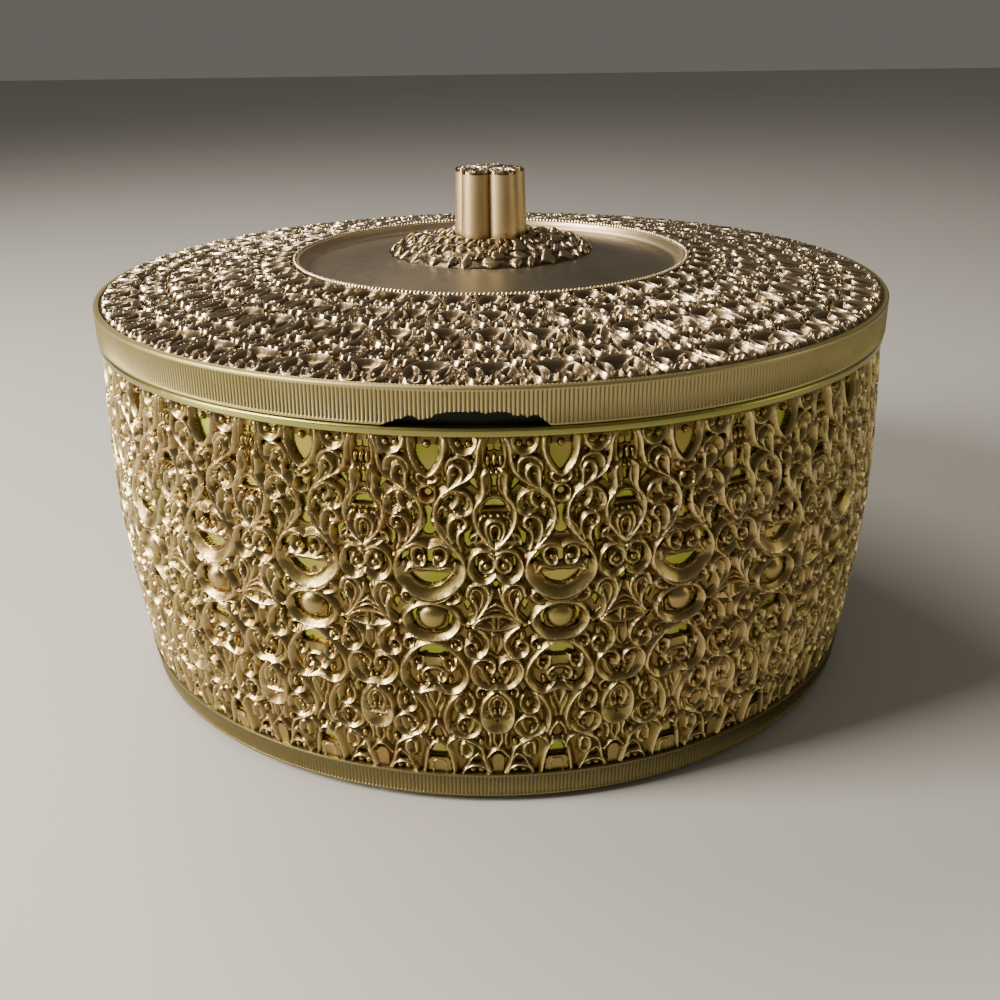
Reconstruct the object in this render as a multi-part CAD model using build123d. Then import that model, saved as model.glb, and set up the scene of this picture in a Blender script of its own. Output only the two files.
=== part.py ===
from build123d import *
import math
import os

# Round filigree sewing box, millimetres, +Z up.
# The origin is the centre of the circle that the feet stand on.

# Driving dimensions
LID_RADIUS = 125.0
BOX_HEIGHT = 120.0          # underside of the feet to the lid's outer top edge
FOOT_HEIGHT = 2.0
BASE_BAND_HEIGHT = 8.0
DRUM_TOP = 107.6
LID_SKIRT_HEIGHT = 9.8
LID_RISE = 7.6              # outer top edge of the lid up to the rim of its dish
KNOB_TOP = 154.3

# Outer barrel of the drum: its radius at three heights
DRUM_TOP_RADIUS = 124.0
DRUM_BELLY_RADIUS = 125.5
DRUM_BELLY_HEIGHT = 65.0
BASE_RADIUS = 119.9

# Wall thicknesses and gaps
DRUM_WALL = 3.2
LID_WALL = 2.6
SKIRT_WALL = 2.4
LINER_WALL = 2.0
TRAY_WALL = 1.6
SIDE_GAP = 0.2              # between fixed pieces that only stand side by side
BORE_GAP = 0.1              # round a stem or a screw in its hole
PARTING_GAP = 0.4           # between the lid's skirt and the rim ring

# Black liner bucket
LINER_RADIUS = 117.0
NECK_RADIUS = 121.6
NECK_TOP = 116.0
LINER_FLANGE = 1.6
BASE_LEDGE_HEIGHT = 1.2
PLATE_TOP = 5.0
LEDGE_ROOT = 1.0            # how far the base ring's ledge reaches into its wall

# Rim ring on the drum
RIM_PROUD = 0.6             # beyond the drum's top
RIM_BEVEL = 0.5

# Feet
FOOT_COUNT = 4
FOOT_RADIUS = 4.5
FOOT_STEM_RADIUS = 2.0
FOOT_CIRCLE = 112.5
FOOT_TURN = -15.0           # the first foot stands this far left of the front, degrees
FOOT_EDGE = 0.6             # rounding of a foot's lower edge

# Lid dish, rosette and knob
DISH_RIM_RADIUS = 62.9
DISH_FLOOR_RADIUS = 57.5
DISH_FLANGE_RADIUS = 67.0   # flange that clamps the shell from inside
DISH_DEPTH = 3.0
DISH_LIP = 0.8
DISH_CORNER = (3.2, 0.5)    # from the edge of the floor, out and up to the foot of the wall
ROSETTE_RADIUS = 33.5
ROSETTE_EDGE_Z = 129.0
KNOB_SEAT_RADIUS = 12.6
KNOB_SEAT_Z = 133.2
ROSETTE_THICKNESS = 1.2
ROSETTE_BEVEL = (0.8, 0.4)
DISH_WALL = 1.6
LID_LINER_WALL = 1.5
LID_SEAT_INNER = 118.5      # inner edge of the flat ring that rests on the neck
KNOB_LOBES = 5
KNOB_LOBE_RADIUS = 4.8
KNOB_LOBE_CIRCLE = 7.2
KNOB_TOP_SCALE = 0.95
KNOB_TURN = -2.0            # the front crease stands this far left of the front, degrees
KNOB_CAP_HEIGHT = 1.4
SCREW_RADIUS = 2.0
SCREW_DEPTH = 12.0
SCREW_HEAD_RADIUS = 4.2
SCREW_HEAD_HEIGHT = 2.2
SCREW_HEAD_EDGE = 0.8
SCREW_SLOT = 1.0            # width and depth
WASHER_RADIUS = 7.0
WASHER_HEIGHT = 1.0

# Chip broken out of the lid's skirt: degrees right of the front, height above the lower edge
CHIP_OUTLINE = [
    (-12.6, 0.0),
    (-10.6, 1.5),
    (-9.4, 2.6),
    (-7.8, 2.0),
    (-6.2, 3.0),
    (-4.2, 3.9),
    (-1.3, 3.7),
    (1.7, 3.6),
    (2.5, 2.8),
    (4.6, 2.6),
    (5.2, 1.9),
    (6.3, 0.0),
]
CHIP_BELOW = 2.0            # how far the chip's block reaches below the skirt
CHIP_REACH = 15.0           # how far it reaches in and out from the skirt

# Lift-out tray
TRAY_RIM_RADIUS = 119.0
TRAY_RIM_HEIGHT = 1.6
TRAY_RADIUS = 113.6
TRAY_FLOOR_Z = 80.0
TRAY_CUP_RADIUS = 30.0
TRAY_SECTORS = 6
TRAY_DIVIDER_TOP = 107.5
PEG_RADIUS = 2.4
PEG_FOOT_RADIUS = 6.0
PEG_FOOT_HEIGHT = 1.5
PEG_EDGE = 1.2
PEG_TOP = 105.0
PEG_CIRCLE = 84.0
PEG_SPREAD = 11.0           # degrees each side of a sector's middle
PEG_SECTORS = (0, 2, 4)
HANDLE_POST_RADIUS = 4.0
HANDLE_BASE_RADIUS = 8.8
HANDLE_BASE_HEIGHT = 2.0
HANDLE_BALL_RADIUS = 8.0
HANDLE_TOP = 114.0
HANDLE_TOP_RISE = 6.0       # from the ball's middle up to its flat top
HANDLE_NECK_DROP = 5.0      # from the ball's middle down to its flat underside

FRONT = -90.0               # the direction of the front in plan, degrees from +X

# Main forms of the drum's scrollwork, repeated round it. Each is given by its distance across
# from its line, down from the drum's top, half width, half height and the depth of its hollow.
# The large forms are oval rims with a hollow inside, the small ones are hollows alone.
DRUM_REPEATS = 24
DRUM_HALF_REPEAT = 16.23    # along the drum, from a boss line to the next leaf line
DRUM_GROUND = 0.8           # depth of the ground between the forms
DRUM_RIM = 1.2              # width of a rim
RIM_ROOT = 1.0              # how far a rim reaches into the wall below the ground
BOSS_LINE_RIMS = [
    (0, 5.7, 4.5, 4.9, 2.0),
    (0, 14.6, 2.7, 2.7, 1.8),
    (0, 35.2, 8.9, 7.6, 1.7),
    (0, 49.1, 7.4, 5.5, 2.0),
    (0, 63.0, 8.8, 7.7, 1.6),
    (0, 91.9, 3.9, 5.1, 1.8),
]
LEAF_LINE_RIMS = [
    (0, 22.0, 5.2, 6.7, 1.6),
    (0, 33.8, 6.8, 4.3, 1.6),
    (0, 64.7, 6.9, 4.8, 1.6),
    (0, 76.9, 4.6, 6.6, 1.6),
]
BOSS_SIDE_HOLLOWS = [
    (7.6, 9.2, 2.2, 3.0, 1.5),
    (7.6, 16.9, 2.6, 2.4, 1.5),
    (11.2, 55.6, 2.2, 2.8, 1.5),
    (7.6, 81.6, 3.2, 2.6, 1.6),
]
LEAF_LINE_HOLLOWS = [(0, 49.4, 5.4, 1.9, 1.4)]
BOSS_DOWN = 48.9            # middle of the boss, down from the drum's top
BOSS_RADIUS = 3.6
BOSS_ROOT = 2.4             # foot of the boss's dome, below the barrel
BOSS_PROUD = 0.2            # top of the boss, above the barrel

# Main cups of the lid's scrollwork: radius of the middle, half width and half length.
LID_REPEATS = 48
LID_CUPS = [(70.8, 3.3, 4.4), (85.3, 4.4, 6.3), (99.8, 4.6, 5.4), (118.2, 5.2, 4.3)]
LID_BETWEEN_CUPS = [(109.2, 3.4, 4.0)]
CUP_RIM = 1.1
CUP_RISE = 0.5              # rim of a cup above the lid's slope
CUP_DEPTH = 0.5             # floor of a cup below the lid's slope

LID_BOTTOM = BOX_HEIGHT - LID_SKIRT_HEIGHT
BASE_TOP = FOOT_HEIGHT + BASE_BAND_HEIGHT
RIM_RING_TOP = LID_BOTTOM - PARTING_GAP
FLANGE_TOP = DRUM_TOP + LINER_FLANGE
DISH_RIM_Z = BOX_HEIGHT + LID_RISE
DISH_FLOOR_Z = DISH_RIM_Z - DISH_DEPTH
DISH_SEAT_Z = KNOB_SEAT_Z - ROSETTE_THICKNESS
DISH_EDGE_Z = ROSETTE_EDGE_Z - ROSETTE_THICKNESS / 2
TRAY_INSIDE_Z = TRAY_FLOOR_Z + TRAY_WALL


def barrel_radius(z):
    """Radius of the drum's outer barrel at height z, on one smooth curve through three heights."""
    heights = (DRUM_TOP, DRUM_BELLY_HEIGHT, FOOT_HEIGHT)
    radii = (DRUM_TOP_RADIUS, DRUM_BELLY_RADIUS, BASE_RADIUS)
    total = 0.0
    for i in range(3):
        weight = radii[i]
        for j in range(3):
            if j != i:
                weight *= (z - heights[j]) / (heights[i] - heights[j])
        total += weight
    return total


def turned(profile_lines):
    """Solid of revolution from the edges of a closed outline in the XZ plane."""
    face = make_face(Plane.XZ * Wire(profile_lines))
    return revolve(face, Axis.Z)


def turned_polygon(points):
    """Solid of revolution from straight runs through (radius, height) points."""
    return turned(Polyline(*points, close=True).edges())


def rod(radius, z_low, z_high, x=0.0, y=0.0):
    """Upright cylinder."""
    height = z_high - z_low
    middle = (z_low + z_high) / 2
    return Pos(x, y, middle) * Cylinder(radius, height)


def around(count, start):
    """Directions in plan, in degrees from +X, evenly spaced from a start."""
    return [start + i * 360.0 / count for i in range(count)]


def plan_point(radius, direction):
    """Point at a radius in a direction in plan."""
    angle = math.radians(direction)
    return radius * math.cos(angle), radius * math.sin(angle)


def foot_places():
    """Centres of the feet."""
    return [plan_point(FOOT_CIRCLE, a) for a in around(FOOT_COUNT, FRONT + FOOT_TURN)]


def barrel_wall(z_low, z_high, inner_low, inner_high, ground=0.0):
    """Wall whose outer face is a depth below the barrel and whose inner face is a cone."""
    low, middle, high = [
        (barrel_radius(z) - ground, z) for z in (z_low, (z_low + z_high) / 2, z_high)
    ]
    outer = ThreePointArc(low, middle, high)
    inner = Polyline(high, (inner_high, z_high), (inner_low, z_low), low)
    return turned(outer.edges() + inner.edges())


def oval_block(place, half_width, half_height, low, high):
    """Oval block that stands square on a place, between two levels above it."""
    return extrude(place.offset(low) * Ellipse(half_width, half_height), amount=high - low)


def drum_place(turn, down):
    """Plane on the barrel, a turn right of the front and some way down from the drum's top."""
    height = DRUM_TOP - down
    radius = barrel_radius(height)
    step = 1.0
    slope = (barrel_radius(height + step) - barrel_radius(height - step)) / (2 * step)
    direction = math.radians(FRONT + turn)
    outward = Vector(math.cos(direction), math.sin(direction), -slope)
    across = Vector(-math.sin(direction), math.cos(direction), 0)
    x, y = plan_point(radius, FRONT + turn)
    return Plane(origin=(x, y, height), x_dir=across, z_dir=outward)


def drum_row(turn, forms):
    """Place and sizes of the forms beside an upright line, a turn right of the front."""
    per_millimetre = 180.0 / DRUM_REPEATS / DRUM_HALF_REPEAT
    row = []
    for across, down, *sizes in forms:
        row.append((drum_place(turn + across * per_millimetre, down), *sizes))
    return row


def drum_boss():
    """Round dome in the eye of a boss ring, at the origin with +Z outward."""
    tall = BOSS_ROOT + BOSS_PROUD
    ball_radius = (BOSS_RADIUS ** 2 + tall ** 2) / (2 * tall)
    ball = Pos(0, 0, BOSS_PROUD - ball_radius) * Sphere(ball_radius)
    return ball & rod(2 * BOSS_RADIUS, -BOSS_ROOT, 2 * BOSS_PROUD)


def filigree_drum():
    inner_low = barrel_radius(BASE_TOP) - DRUM_WALL
    inner_high = barrel_radius(DRUM_TOP) - DRUM_WALL
    wall = barrel_wall(BASE_TOP, DRUM_TOP, inner_low, inner_high, DRUM_GROUND)
    sides = BOSS_SIDE_HOLLOWS + [(-across, *rest) for across, *rest in BOSS_SIDE_HOLLOWS]
    boss = drum_boss()
    rims = []
    hollows = []
    bosses = []
    for leaf_turn in around(DRUM_REPEATS, 0.0):
        boss_turn = leaf_turn + 180.0 / DRUM_REPEATS
        bosses.append(drum_place(boss_turn, BOSS_DOWN).location * boss)
        rims += drum_row(boss_turn, BOSS_LINE_RIMS) + drum_row(leaf_turn, LEAF_LINE_RIMS)
        hollows += drum_row(boss_turn, sides) + drum_row(leaf_turn, LEAF_LINE_HOLLOWS)
    raised = []
    sunk = [oval_block(*sizes, -depth, DRUM_WALL) for *sizes, depth in hollows]
    for place, half_width, half_height, depth in rims:
        top = -half_width ** 2 / (2 * LID_RADIUS)
        raised.append(oval_block(place, half_width, half_height, -DRUM_GROUND - RIM_ROOT, top))
        inside = (half_width - DRUM_RIM, half_height - DRUM_RIM)
        sunk.append(oval_block(place, *inside, -depth, DRUM_WALL))
    return wall + raised - sunk + bosses


def base_ring():
    wall_inner = LINER_RADIUS + SIDE_GAP
    wall = barrel_wall(FOOT_HEIGHT, BASE_TOP, wall_inner, wall_inner)
    ledge_inner = FOOT_CIRCLE - FOOT_RADIUS
    ledge_top = FOOT_HEIGHT + BASE_LEDGE_HEIGHT
    ledge = rod(wall_inner + LEDGE_ROOT, FOOT_HEIGHT, ledge_top)
    ledge -= rod(ledge_inner, FOOT_HEIGHT, ledge_top)
    ring = wall + ledge
    for x, y in foot_places():
        ring -= rod(FOOT_STEM_RADIUS + BORE_GAP, 0, BASE_TOP, x, y)
    return ring


def base_plate():
    plate = rod(LINER_RADIUS, FOOT_HEIGHT + BASE_LEDGE_HEIGHT, PLATE_TOP)
    for x, y in foot_places():
        plate -= rod(FOOT_STEM_RADIUS + BORE_GAP, 0, BASE_TOP, x, y)
    return plate


def foot(x, y):
    pad = rod(FOOT_RADIUS, 0, FOOT_HEIGHT, x, y)
    pad = fillet(pad.edges().group_by(Axis.Z)[0], FOOT_EDGE)
    stem = rod(FOOT_STEM_RADIUS, FOOT_HEIGHT, PLATE_TOP, x, y)
    return pad + stem


def rim_ring():
    inner = NECK_RADIUS + SIDE_GAP
    outer = DRUM_TOP_RADIUS + RIM_PROUD
    top = RIM_RING_TOP
    return turned_polygon([
        (inner, DRUM_TOP),
        (outer, DRUM_TOP),
        (outer, top - RIM_BEVEL),
        (outer - RIM_BEVEL, top),
        (inner, top),
    ])


def liner_bucket():
    return turned_polygon([
        (0, PLATE_TOP),
        (LINER_RADIUS, PLATE_TOP),
        (LINER_RADIUS, DRUM_TOP),
        (NECK_RADIUS, DRUM_TOP),
        (NECK_RADIUS, NECK_TOP),
        (NECK_RADIUS - LINER_WALL, NECK_TOP),
        (NECK_RADIUS - LINER_WALL, FLANGE_TOP),
        (LINER_RADIUS - LINER_WALL, FLANGE_TOP),
        (LINER_RADIUS - LINER_WALL, PLATE_TOP + LINER_WALL),
        (0, PLATE_TOP + LINER_WALL),
    ])


def lid_cone_z(radius):
    """Height of the lid's outer sloping face."""
    return BOX_HEIGHT + LID_RISE * (LID_RADIUS - radius) / (LID_RADIUS - DISH_RIM_RADIUS)


def under_lid_z(radius):
    """Height of the sloping face inside the lid's shell."""
    return lid_cone_z(radius) - LID_WALL


def lid_chip():
    """Ragged block that leaves the chip when it is cut from the front of the skirt."""
    points = [
        (LID_RADIUS * math.sin(math.radians(turn)), LID_BOTTOM + rise)
        for turn, rise in CHIP_OUTLINE
    ]
    below = LID_BOTTOM - CHIP_BELOW
    points.append((points[-1][0], below))
    points.append((points[0][0], below))
    outline = make_face(Plane.XZ * Polyline(*points, close=True))
    return Pos(0, -LID_RADIUS, 0) * extrude(outline, amount=CHIP_REACH, both=True)


def lid_cup_places():
    """Plane on the lid's slope, half width and half length of each cup of its scrollwork."""
    slope = LID_RISE / (LID_RADIUS - DISH_RIM_RADIUS)
    repeat = 360.0 / LID_REPEATS
    cups = []
    for index in range(LID_REPEATS):
        rows = [(index * repeat, LID_CUPS), ((index + 0.5) * repeat, LID_BETWEEN_CUPS)]
        for turn, row in rows:
            direction = math.radians(FRONT + turn)
            across = Vector(-math.sin(direction), math.cos(direction), 0)
            upward = Vector(slope * math.cos(direction), slope * math.sin(direction), 1)
            for radius, half_width, half_length in row:
                x, y = plan_point(radius, FRONT + turn)
                place = Plane(origin=(x, y, lid_cone_z(radius)), x_dir=across, z_dir=upward)
                cups.append((place, half_width, half_length))
    return cups


def lid_shell():
    inner = LID_RADIUS - SKIRT_WALL
    seat = DISH_RIM_RADIUS + SIDE_GAP
    shell = turned_polygon([
        (LID_RADIUS, LID_BOTTOM),
        (LID_RADIUS, BOX_HEIGHT),
        (seat, lid_cone_z(seat)),
        (seat, under_lid_z(seat)),
        (inner, under_lid_z(inner)),
        (inner, LID_BOTTOM),
    ])
    rims = []
    hollows = []
    for place, half_width, half_length in lid_cup_places():
        rims.append(oval_block(place, half_width, half_length, -CUP_DEPTH, CUP_RISE))
        inside = (half_width - CUP_RIM, half_length - CUP_RIM)
        hollows.append(oval_block(place, *inside, -CUP_DEPTH, LID_WALL))
    return shell + rims - hollows - lid_chip()


def dish_outline():
    """Upper face of the dish, from its rim down its curved wall and up its cone."""
    corner_out, corner_up = DISH_CORNER
    wall_corner = (DISH_FLOOR_RADIUS + corner_out, DISH_FLOOR_Z + corner_up)
    return [
        (DISH_RIM_RADIUS, DISH_RIM_Z),
        (DISH_RIM_RADIUS - DISH_LIP, DISH_RIM_Z),
        wall_corner,
        (DISH_FLOOR_RADIUS, DISH_FLOOR_Z),
        (ROSETTE_RADIUS, DISH_EDGE_Z),
        (KNOB_SEAT_RADIUS, DISH_SEAT_Z),
    ]


def lid_dish():
    rim, lip, corner, floor, edge, seat = dish_outline()
    bore = SCREW_RADIUS + BORE_GAP
    drop = DISH_WALL
    return turned_polygon([
        rim,
        lip,
        corner,
        floor,
        edge,
        seat,
        (bore, seat[1]),
        (bore, seat[1] - drop),
        (seat[0], seat[1] - drop),
        (edge[0], edge[1] - drop),
        (floor[0], floor[1] - drop),
        (DISH_FLANGE_RADIUS, floor[1] - drop),
        (DISH_FLANGE_RADIUS, under_lid_z(DISH_FLANGE_RADIUS)),
        (DISH_RIM_RADIUS, under_lid_z(DISH_RIM_RADIUS)),
    ])


def knob_rosette():
    edge, seat = dish_outline()[-2:]
    bevel_in, bevel_up = ROSETTE_BEVEL
    bore = SCREW_RADIUS + BORE_GAP
    return turned_polygon([
        edge,
        (edge[0] - bevel_in, ROSETTE_EDGE_Z + bevel_up),
        (KNOB_SEAT_RADIUS, KNOB_SEAT_Z),
        (bore, KNOB_SEAT_Z),
        (bore, seat[1]),
        seat,
    ])


def lobed_face(scale):
    """Plan of the knob: equal round lobes about a middle, with a crease at the front."""
    first = FRONT + KNOB_TURN + 180.0 / KNOB_LOBES
    plan = Circle(KNOB_LOBE_CIRCLE * scale)
    for direction in around(KNOB_LOBES, first):
        x, y = plan_point(KNOB_LOBE_CIRCLE * scale, direction)
        plan += Pos(x, y) * Circle(KNOB_LOBE_RADIUS * scale)
    return plan


def knob_column():
    top = KNOB_TOP - KNOB_CAP_HEIGHT
    foot_face = Pos(0, 0, KNOB_SEAT_Z) * lobed_face(1.0)
    top_face = Pos(0, 0, top) * lobed_face(KNOB_TOP_SCALE)
    column = loft([foot_face.face(), top_face.face()], ruled=True)
    return column - rod(SCREW_RADIUS, KNOB_SEAT_Z, KNOB_SEAT_Z + SCREW_DEPTH)


def knob_cap():
    low = KNOB_TOP - KNOB_CAP_HEIGHT
    return extrude(Pos(0, 0, low) * lobed_face(KNOB_TOP_SCALE), amount=KNOB_CAP_HEIGHT)


def lid_liner():
    """Black inner lid: it backs the shell, rests on the neck and rises to the screw."""
    outer = LID_RADIUS - SKIRT_WALL - SIDE_GAP
    step = DISH_FLANGE_RADIUS + SIDE_GAP
    bore = SCREW_RADIUS + BORE_GAP
    under_floor = DISH_FLOOR_Z - DISH_WALL
    under_edge = DISH_EDGE_Z - DISH_WALL
    under_seat = DISH_SEAT_Z - DISH_WALL
    wall = LID_LINER_WALL
    return turned_polygon([
        (outer, NECK_TOP),
        (outer, under_lid_z(outer)),
        (step, under_lid_z(step)),
        (step, under_floor),
        (DISH_FLOOR_RADIUS, under_floor),
        (ROSETTE_RADIUS, under_edge),
        (KNOB_SEAT_RADIUS, under_seat),
        (bore, under_seat),
        (bore, under_seat - wall),
        (KNOB_SEAT_RADIUS, under_seat - wall),
        (ROSETTE_RADIUS, under_edge - wall),
        (DISH_FLOOR_RADIUS, under_floor - wall),
        (step, under_floor - wall),
        (LID_SEAT_INNER, NECK_TOP),
    ])


def washer_top():
    return DISH_SEAT_Z - DISH_WALL - LID_LINER_WALL


def knob_washer():
    top = washer_top()
    low = top - WASHER_HEIGHT
    return rod(WASHER_RADIUS, low, top) - rod(SCREW_RADIUS + BORE_GAP, low, top)


def knob_screw():
    head_top = washer_top() - WASHER_HEIGHT
    head_low = head_top - SCREW_HEAD_HEIGHT
    head = rod(SCREW_HEAD_RADIUS, head_low, head_top)
    head = fillet(head.edges().group_by(Axis.Z)[0], SCREW_HEAD_EDGE)
    slot_middle = head_low + SCREW_SLOT / 2
    head -= Pos(0, 0, slot_middle) * Box(3 * SCREW_HEAD_RADIUS, SCREW_SLOT, SCREW_SLOT)
    return head + rod(SCREW_RADIUS, head_top, KNOB_SEAT_Z + SCREW_DEPTH)


def sector_direction(index):
    """Middle of a tray compartment, in degrees from +X."""
    return FRONT + index * 360.0 / TRAY_SECTORS


def tray_pan():
    rim_top = FLANGE_TOP + TRAY_RIM_HEIGHT
    return turned_polygon([
        (0, TRAY_FLOOR_Z),
        (TRAY_RADIUS, TRAY_FLOOR_Z),
        (TRAY_RADIUS, FLANGE_TOP),
        (TRAY_RIM_RADIUS, FLANGE_TOP),
        (TRAY_RIM_RADIUS, rim_top),
        (TRAY_RADIUS - TRAY_WALL, rim_top),
        (TRAY_RADIUS - TRAY_WALL, TRAY_INSIDE_Z),
        (0, TRAY_INSIDE_Z),
    ])


def tray_cup():
    """Round wall that stands in the middle of the tray."""
    wall = rod(TRAY_CUP_RADIUS, TRAY_INSIDE_Z, TRAY_DIVIDER_TOP)
    return wall - rod(TRAY_CUP_RADIUS - TRAY_WALL, TRAY_INSIDE_Z, TRAY_DIVIDER_TOP)


def tray_divider(direction):
    """Upright plate from the middle cup to the tray's wall."""
    inner = TRAY_CUP_RADIUS + SIDE_GAP
    outer = TRAY_RADIUS - TRAY_WALL - SIDE_GAP
    height = TRAY_DIVIDER_TOP - TRAY_INSIDE_Z
    middle = TRAY_INSIDE_Z + height / 2
    plate = Pos((inner + outer) / 2, 0, middle) * Box(outer - inner, TRAY_WALL, height)
    return Rot(0, 0, direction) * plate


def spool_peg(x, y):
    peg = rod(PEG_FOOT_RADIUS, TRAY_INSIDE_Z, TRAY_INSIDE_Z + PEG_FOOT_HEIGHT, x, y)
    peg += rod(PEG_RADIUS, TRAY_INSIDE_Z, PEG_TOP, x, y)
    return fillet(peg.edges().group_by(Axis.Z)[-1], PEG_EDGE)


def tray_handle():
    """Round pull that stands in the tray's middle cup."""
    ball_middle = HANDLE_TOP - HANDLE_TOP_RISE
    ball = Pos(0, 0, ball_middle) * Sphere(HANDLE_BALL_RADIUS)
    keep = rod(HANDLE_BALL_RADIUS, ball_middle - HANDLE_NECK_DROP, HANDLE_TOP)
    post = rod(HANDLE_POST_RADIUS, TRAY_INSIDE_Z, ball_middle)
    base = rod(HANDLE_BASE_RADIUS, TRAY_INSIDE_Z, TRAY_INSIDE_Z + HANDLE_BASE_HEIGHT)
    return (ball & keep) + post + base


def peg_places():
    places = []
    for index in PEG_SECTORS:
        for side in (-1, 1):
            places.append(plan_point(PEG_CIRCLE, sector_direction(index) + side * PEG_SPREAD))
    return places


def build_pieces():
    pieces = {
        "filigree_drum": filigree_drum(),
        "rim_ring": rim_ring(),
        "base_ring": base_ring(),
        "base_plate": base_plate(),
        "liner_bucket": liner_bucket(),
        "lid_shell": lid_shell(),
        "lid_dish": lid_dish(),
        "lid_liner": lid_liner(),
        "knob_rosette": knob_rosette(),
        "knob_column": knob_column(),
        "knob_cap": knob_cap(),
        "knob_screw": knob_screw(),
        "knob_washer": knob_washer(),
        "tray_pan": tray_pan(),
        "tray_cup": tray_cup(),
        "tray_handle": tray_handle(),
    }
    for number, (x, y) in enumerate(foot_places(), 1):
        pieces[f"foot_{number}"] = foot(x, y)
    for index in range(TRAY_SECTORS):
        pieces[f"tray_divider_{index + 1}"] = tray_divider(sector_direction(index + 0.5))
    for number, (x, y) in enumerate(peg_places(), 1):
        pieces[f"spool_peg_{number}"] = spool_peg(x, y)
    return pieces


def main():
    os.makedirs("parts", exist_ok=True)
    for name, solid in build_pieces().items():
        export_step(solid, f"parts/{name}.step", write_pcurves=False)


main()
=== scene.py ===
import math

import bpy
import numpy as np
from mathutils import Matrix, Vector


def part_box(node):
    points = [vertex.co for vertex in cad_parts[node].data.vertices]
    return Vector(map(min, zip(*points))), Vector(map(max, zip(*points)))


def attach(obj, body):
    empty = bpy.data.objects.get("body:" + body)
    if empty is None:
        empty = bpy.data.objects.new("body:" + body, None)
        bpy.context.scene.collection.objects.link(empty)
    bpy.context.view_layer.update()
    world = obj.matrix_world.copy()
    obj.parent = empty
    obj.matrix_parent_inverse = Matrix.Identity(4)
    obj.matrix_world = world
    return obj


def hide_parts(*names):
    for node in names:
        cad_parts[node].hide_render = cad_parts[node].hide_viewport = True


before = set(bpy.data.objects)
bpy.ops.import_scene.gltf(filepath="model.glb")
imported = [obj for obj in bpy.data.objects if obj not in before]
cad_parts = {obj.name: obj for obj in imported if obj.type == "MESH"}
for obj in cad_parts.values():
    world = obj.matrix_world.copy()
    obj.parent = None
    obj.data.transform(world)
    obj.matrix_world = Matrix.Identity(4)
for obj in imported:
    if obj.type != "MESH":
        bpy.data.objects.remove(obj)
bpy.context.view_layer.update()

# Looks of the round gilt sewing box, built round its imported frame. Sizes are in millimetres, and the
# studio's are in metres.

MM = 0.001


def low_of(node):
    """Height of a node's lowest point."""
    return round(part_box(node)[0][2] / MM, 2)


def top_of(node):
    """Height of a node's highest point."""
    return round(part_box(node)[1][2] / MM, 2)


def radius_of(node):
    """Radius of a round node that stands on the box's axis."""
    return round(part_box(node)[1][0] / MM, 2)


# Sizes read from the frame
DRUM_TOP = top_of("filigree_drum")
BASE_TOP = top_of("base_ring")
BASE_LOW = low_of("base_ring")
LID_RADIUS = radius_of("lid_shell")
LID_BOTTOM = low_of("lid_shell")
DISH_LOW = low_of("lid_dish")
DISH_TOP = top_of("lid_dish")
ROSETTE_LOW = low_of("knob_rosette")
ROSETTE_RADIUS = radius_of("knob_rosette")
COLUMN_LOW = low_of("knob_column")
CAP_LOW = low_of("knob_cap")
KNOB_TOP = top_of("knob_cap")
TRAY_FLOOR = low_of("tray_cup")

# Sizes of the construction that a box round a node doesn't give
DRUM_WALL = 3.2
BARREL_HEIGHTS = (DRUM_TOP, 65.0, BASE_LOW)
BARREL_RADII = (124.0, 125.5, 119.9)
LID_TOP = 120.0
LID_RISE = 7.6
LID_LINER_WALL = 1.5
DISH_RIM = 62.9
DISH_WALL = 1.6
DISH_FOOT = 57.5
KNOB_SEAT = 12.6
SCREW_BORE = 2.1
LOBES = 5
LOBE_CIRCLE = 7.2
LOBE_RADIUS = 4.8
KNOB_TURN = 2.0
KNOB_TAPER = 0.05
LINER_WALL = 2.0
FOOT_CIRCLE = 112.5
FIRST_FOOT = -105.0
TRAY_WALL = 1.6
TRAY_INSIDE = 112.0
PEG_CIRCLE = 84.0

# Counts and sizes of the relief. Each half is half a repeat's width, as it is laid out on the flat.
SECTORS = 6
DRUM_REPEATS = 24
DRUM_HALF = 16.23
DRUM_TALL = DRUM_TOP - BASE_TOP
CREST_HEIGHT = 2.4
LID_REPEATS = 48
LID_HALF = 6.6
LID_CREST = 1.8
ROSETTE_REPEATS = 30
ROSETTE_HALF = 2.6
ROSETTE_CREST = 1.3
SKIRT_RIBS = 744
BASE_RIBS = 720
RIB_DEPTH = 0.34
DISH_BEADS = 320


def barrel_radius(z):
    """Radius of the drum's barrel at a height, on a smooth curve through three given ones."""
    total = 0.0
    for i in range(3):
        share = BARREL_RADII[i]
        for j in range(3):
            if j != i:
                share = share * (z - BARREL_HEIGHTS[j]) / (BARREL_HEIGHTS[i] - BARREL_HEIGHTS[j])
        total = total + share
    return total


def lid_cone(radius):
    """Height of the lid's slope at a radius."""
    return LID_TOP + LID_RISE * (LID_RADIUS - radius) / (LID_RADIUS - DISH_RIM)


# Finishes

# Tones, as linear red, green and blue
COPPER_BLUSH = (0.42, 0.20, 0.075)
# Painted reflection: the flat windows' green and gold stand in for the surroundings they mirror
WINDOW_GREEN_REFLECTION = (0.29, 0.31, 0.045)
WINDOW_GOLD_REFLECTION = (0.42, 0.34, 0.09)
TARNISH = (0.035, 0.045, 0.025)
RUBBED_BROWN = (0.30, 0.23, 0.12)
# Painted shade for the rib valleys
PAINTED_RIB_SHADE = (0.20, 0.15, 0.07)
BROKEN_CORE = (0.012, 0.010, 0.012)
AMBER_STAIN = (0.50, 0.35, 0.17)
DARK_SCRATCH = (0.12, 0.09, 0.05)
# Painted highlight for the dish's inner wall
PAINTED_WALL_HIGHLIGHT = (0.60, 0.48, 0.30)


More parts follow.
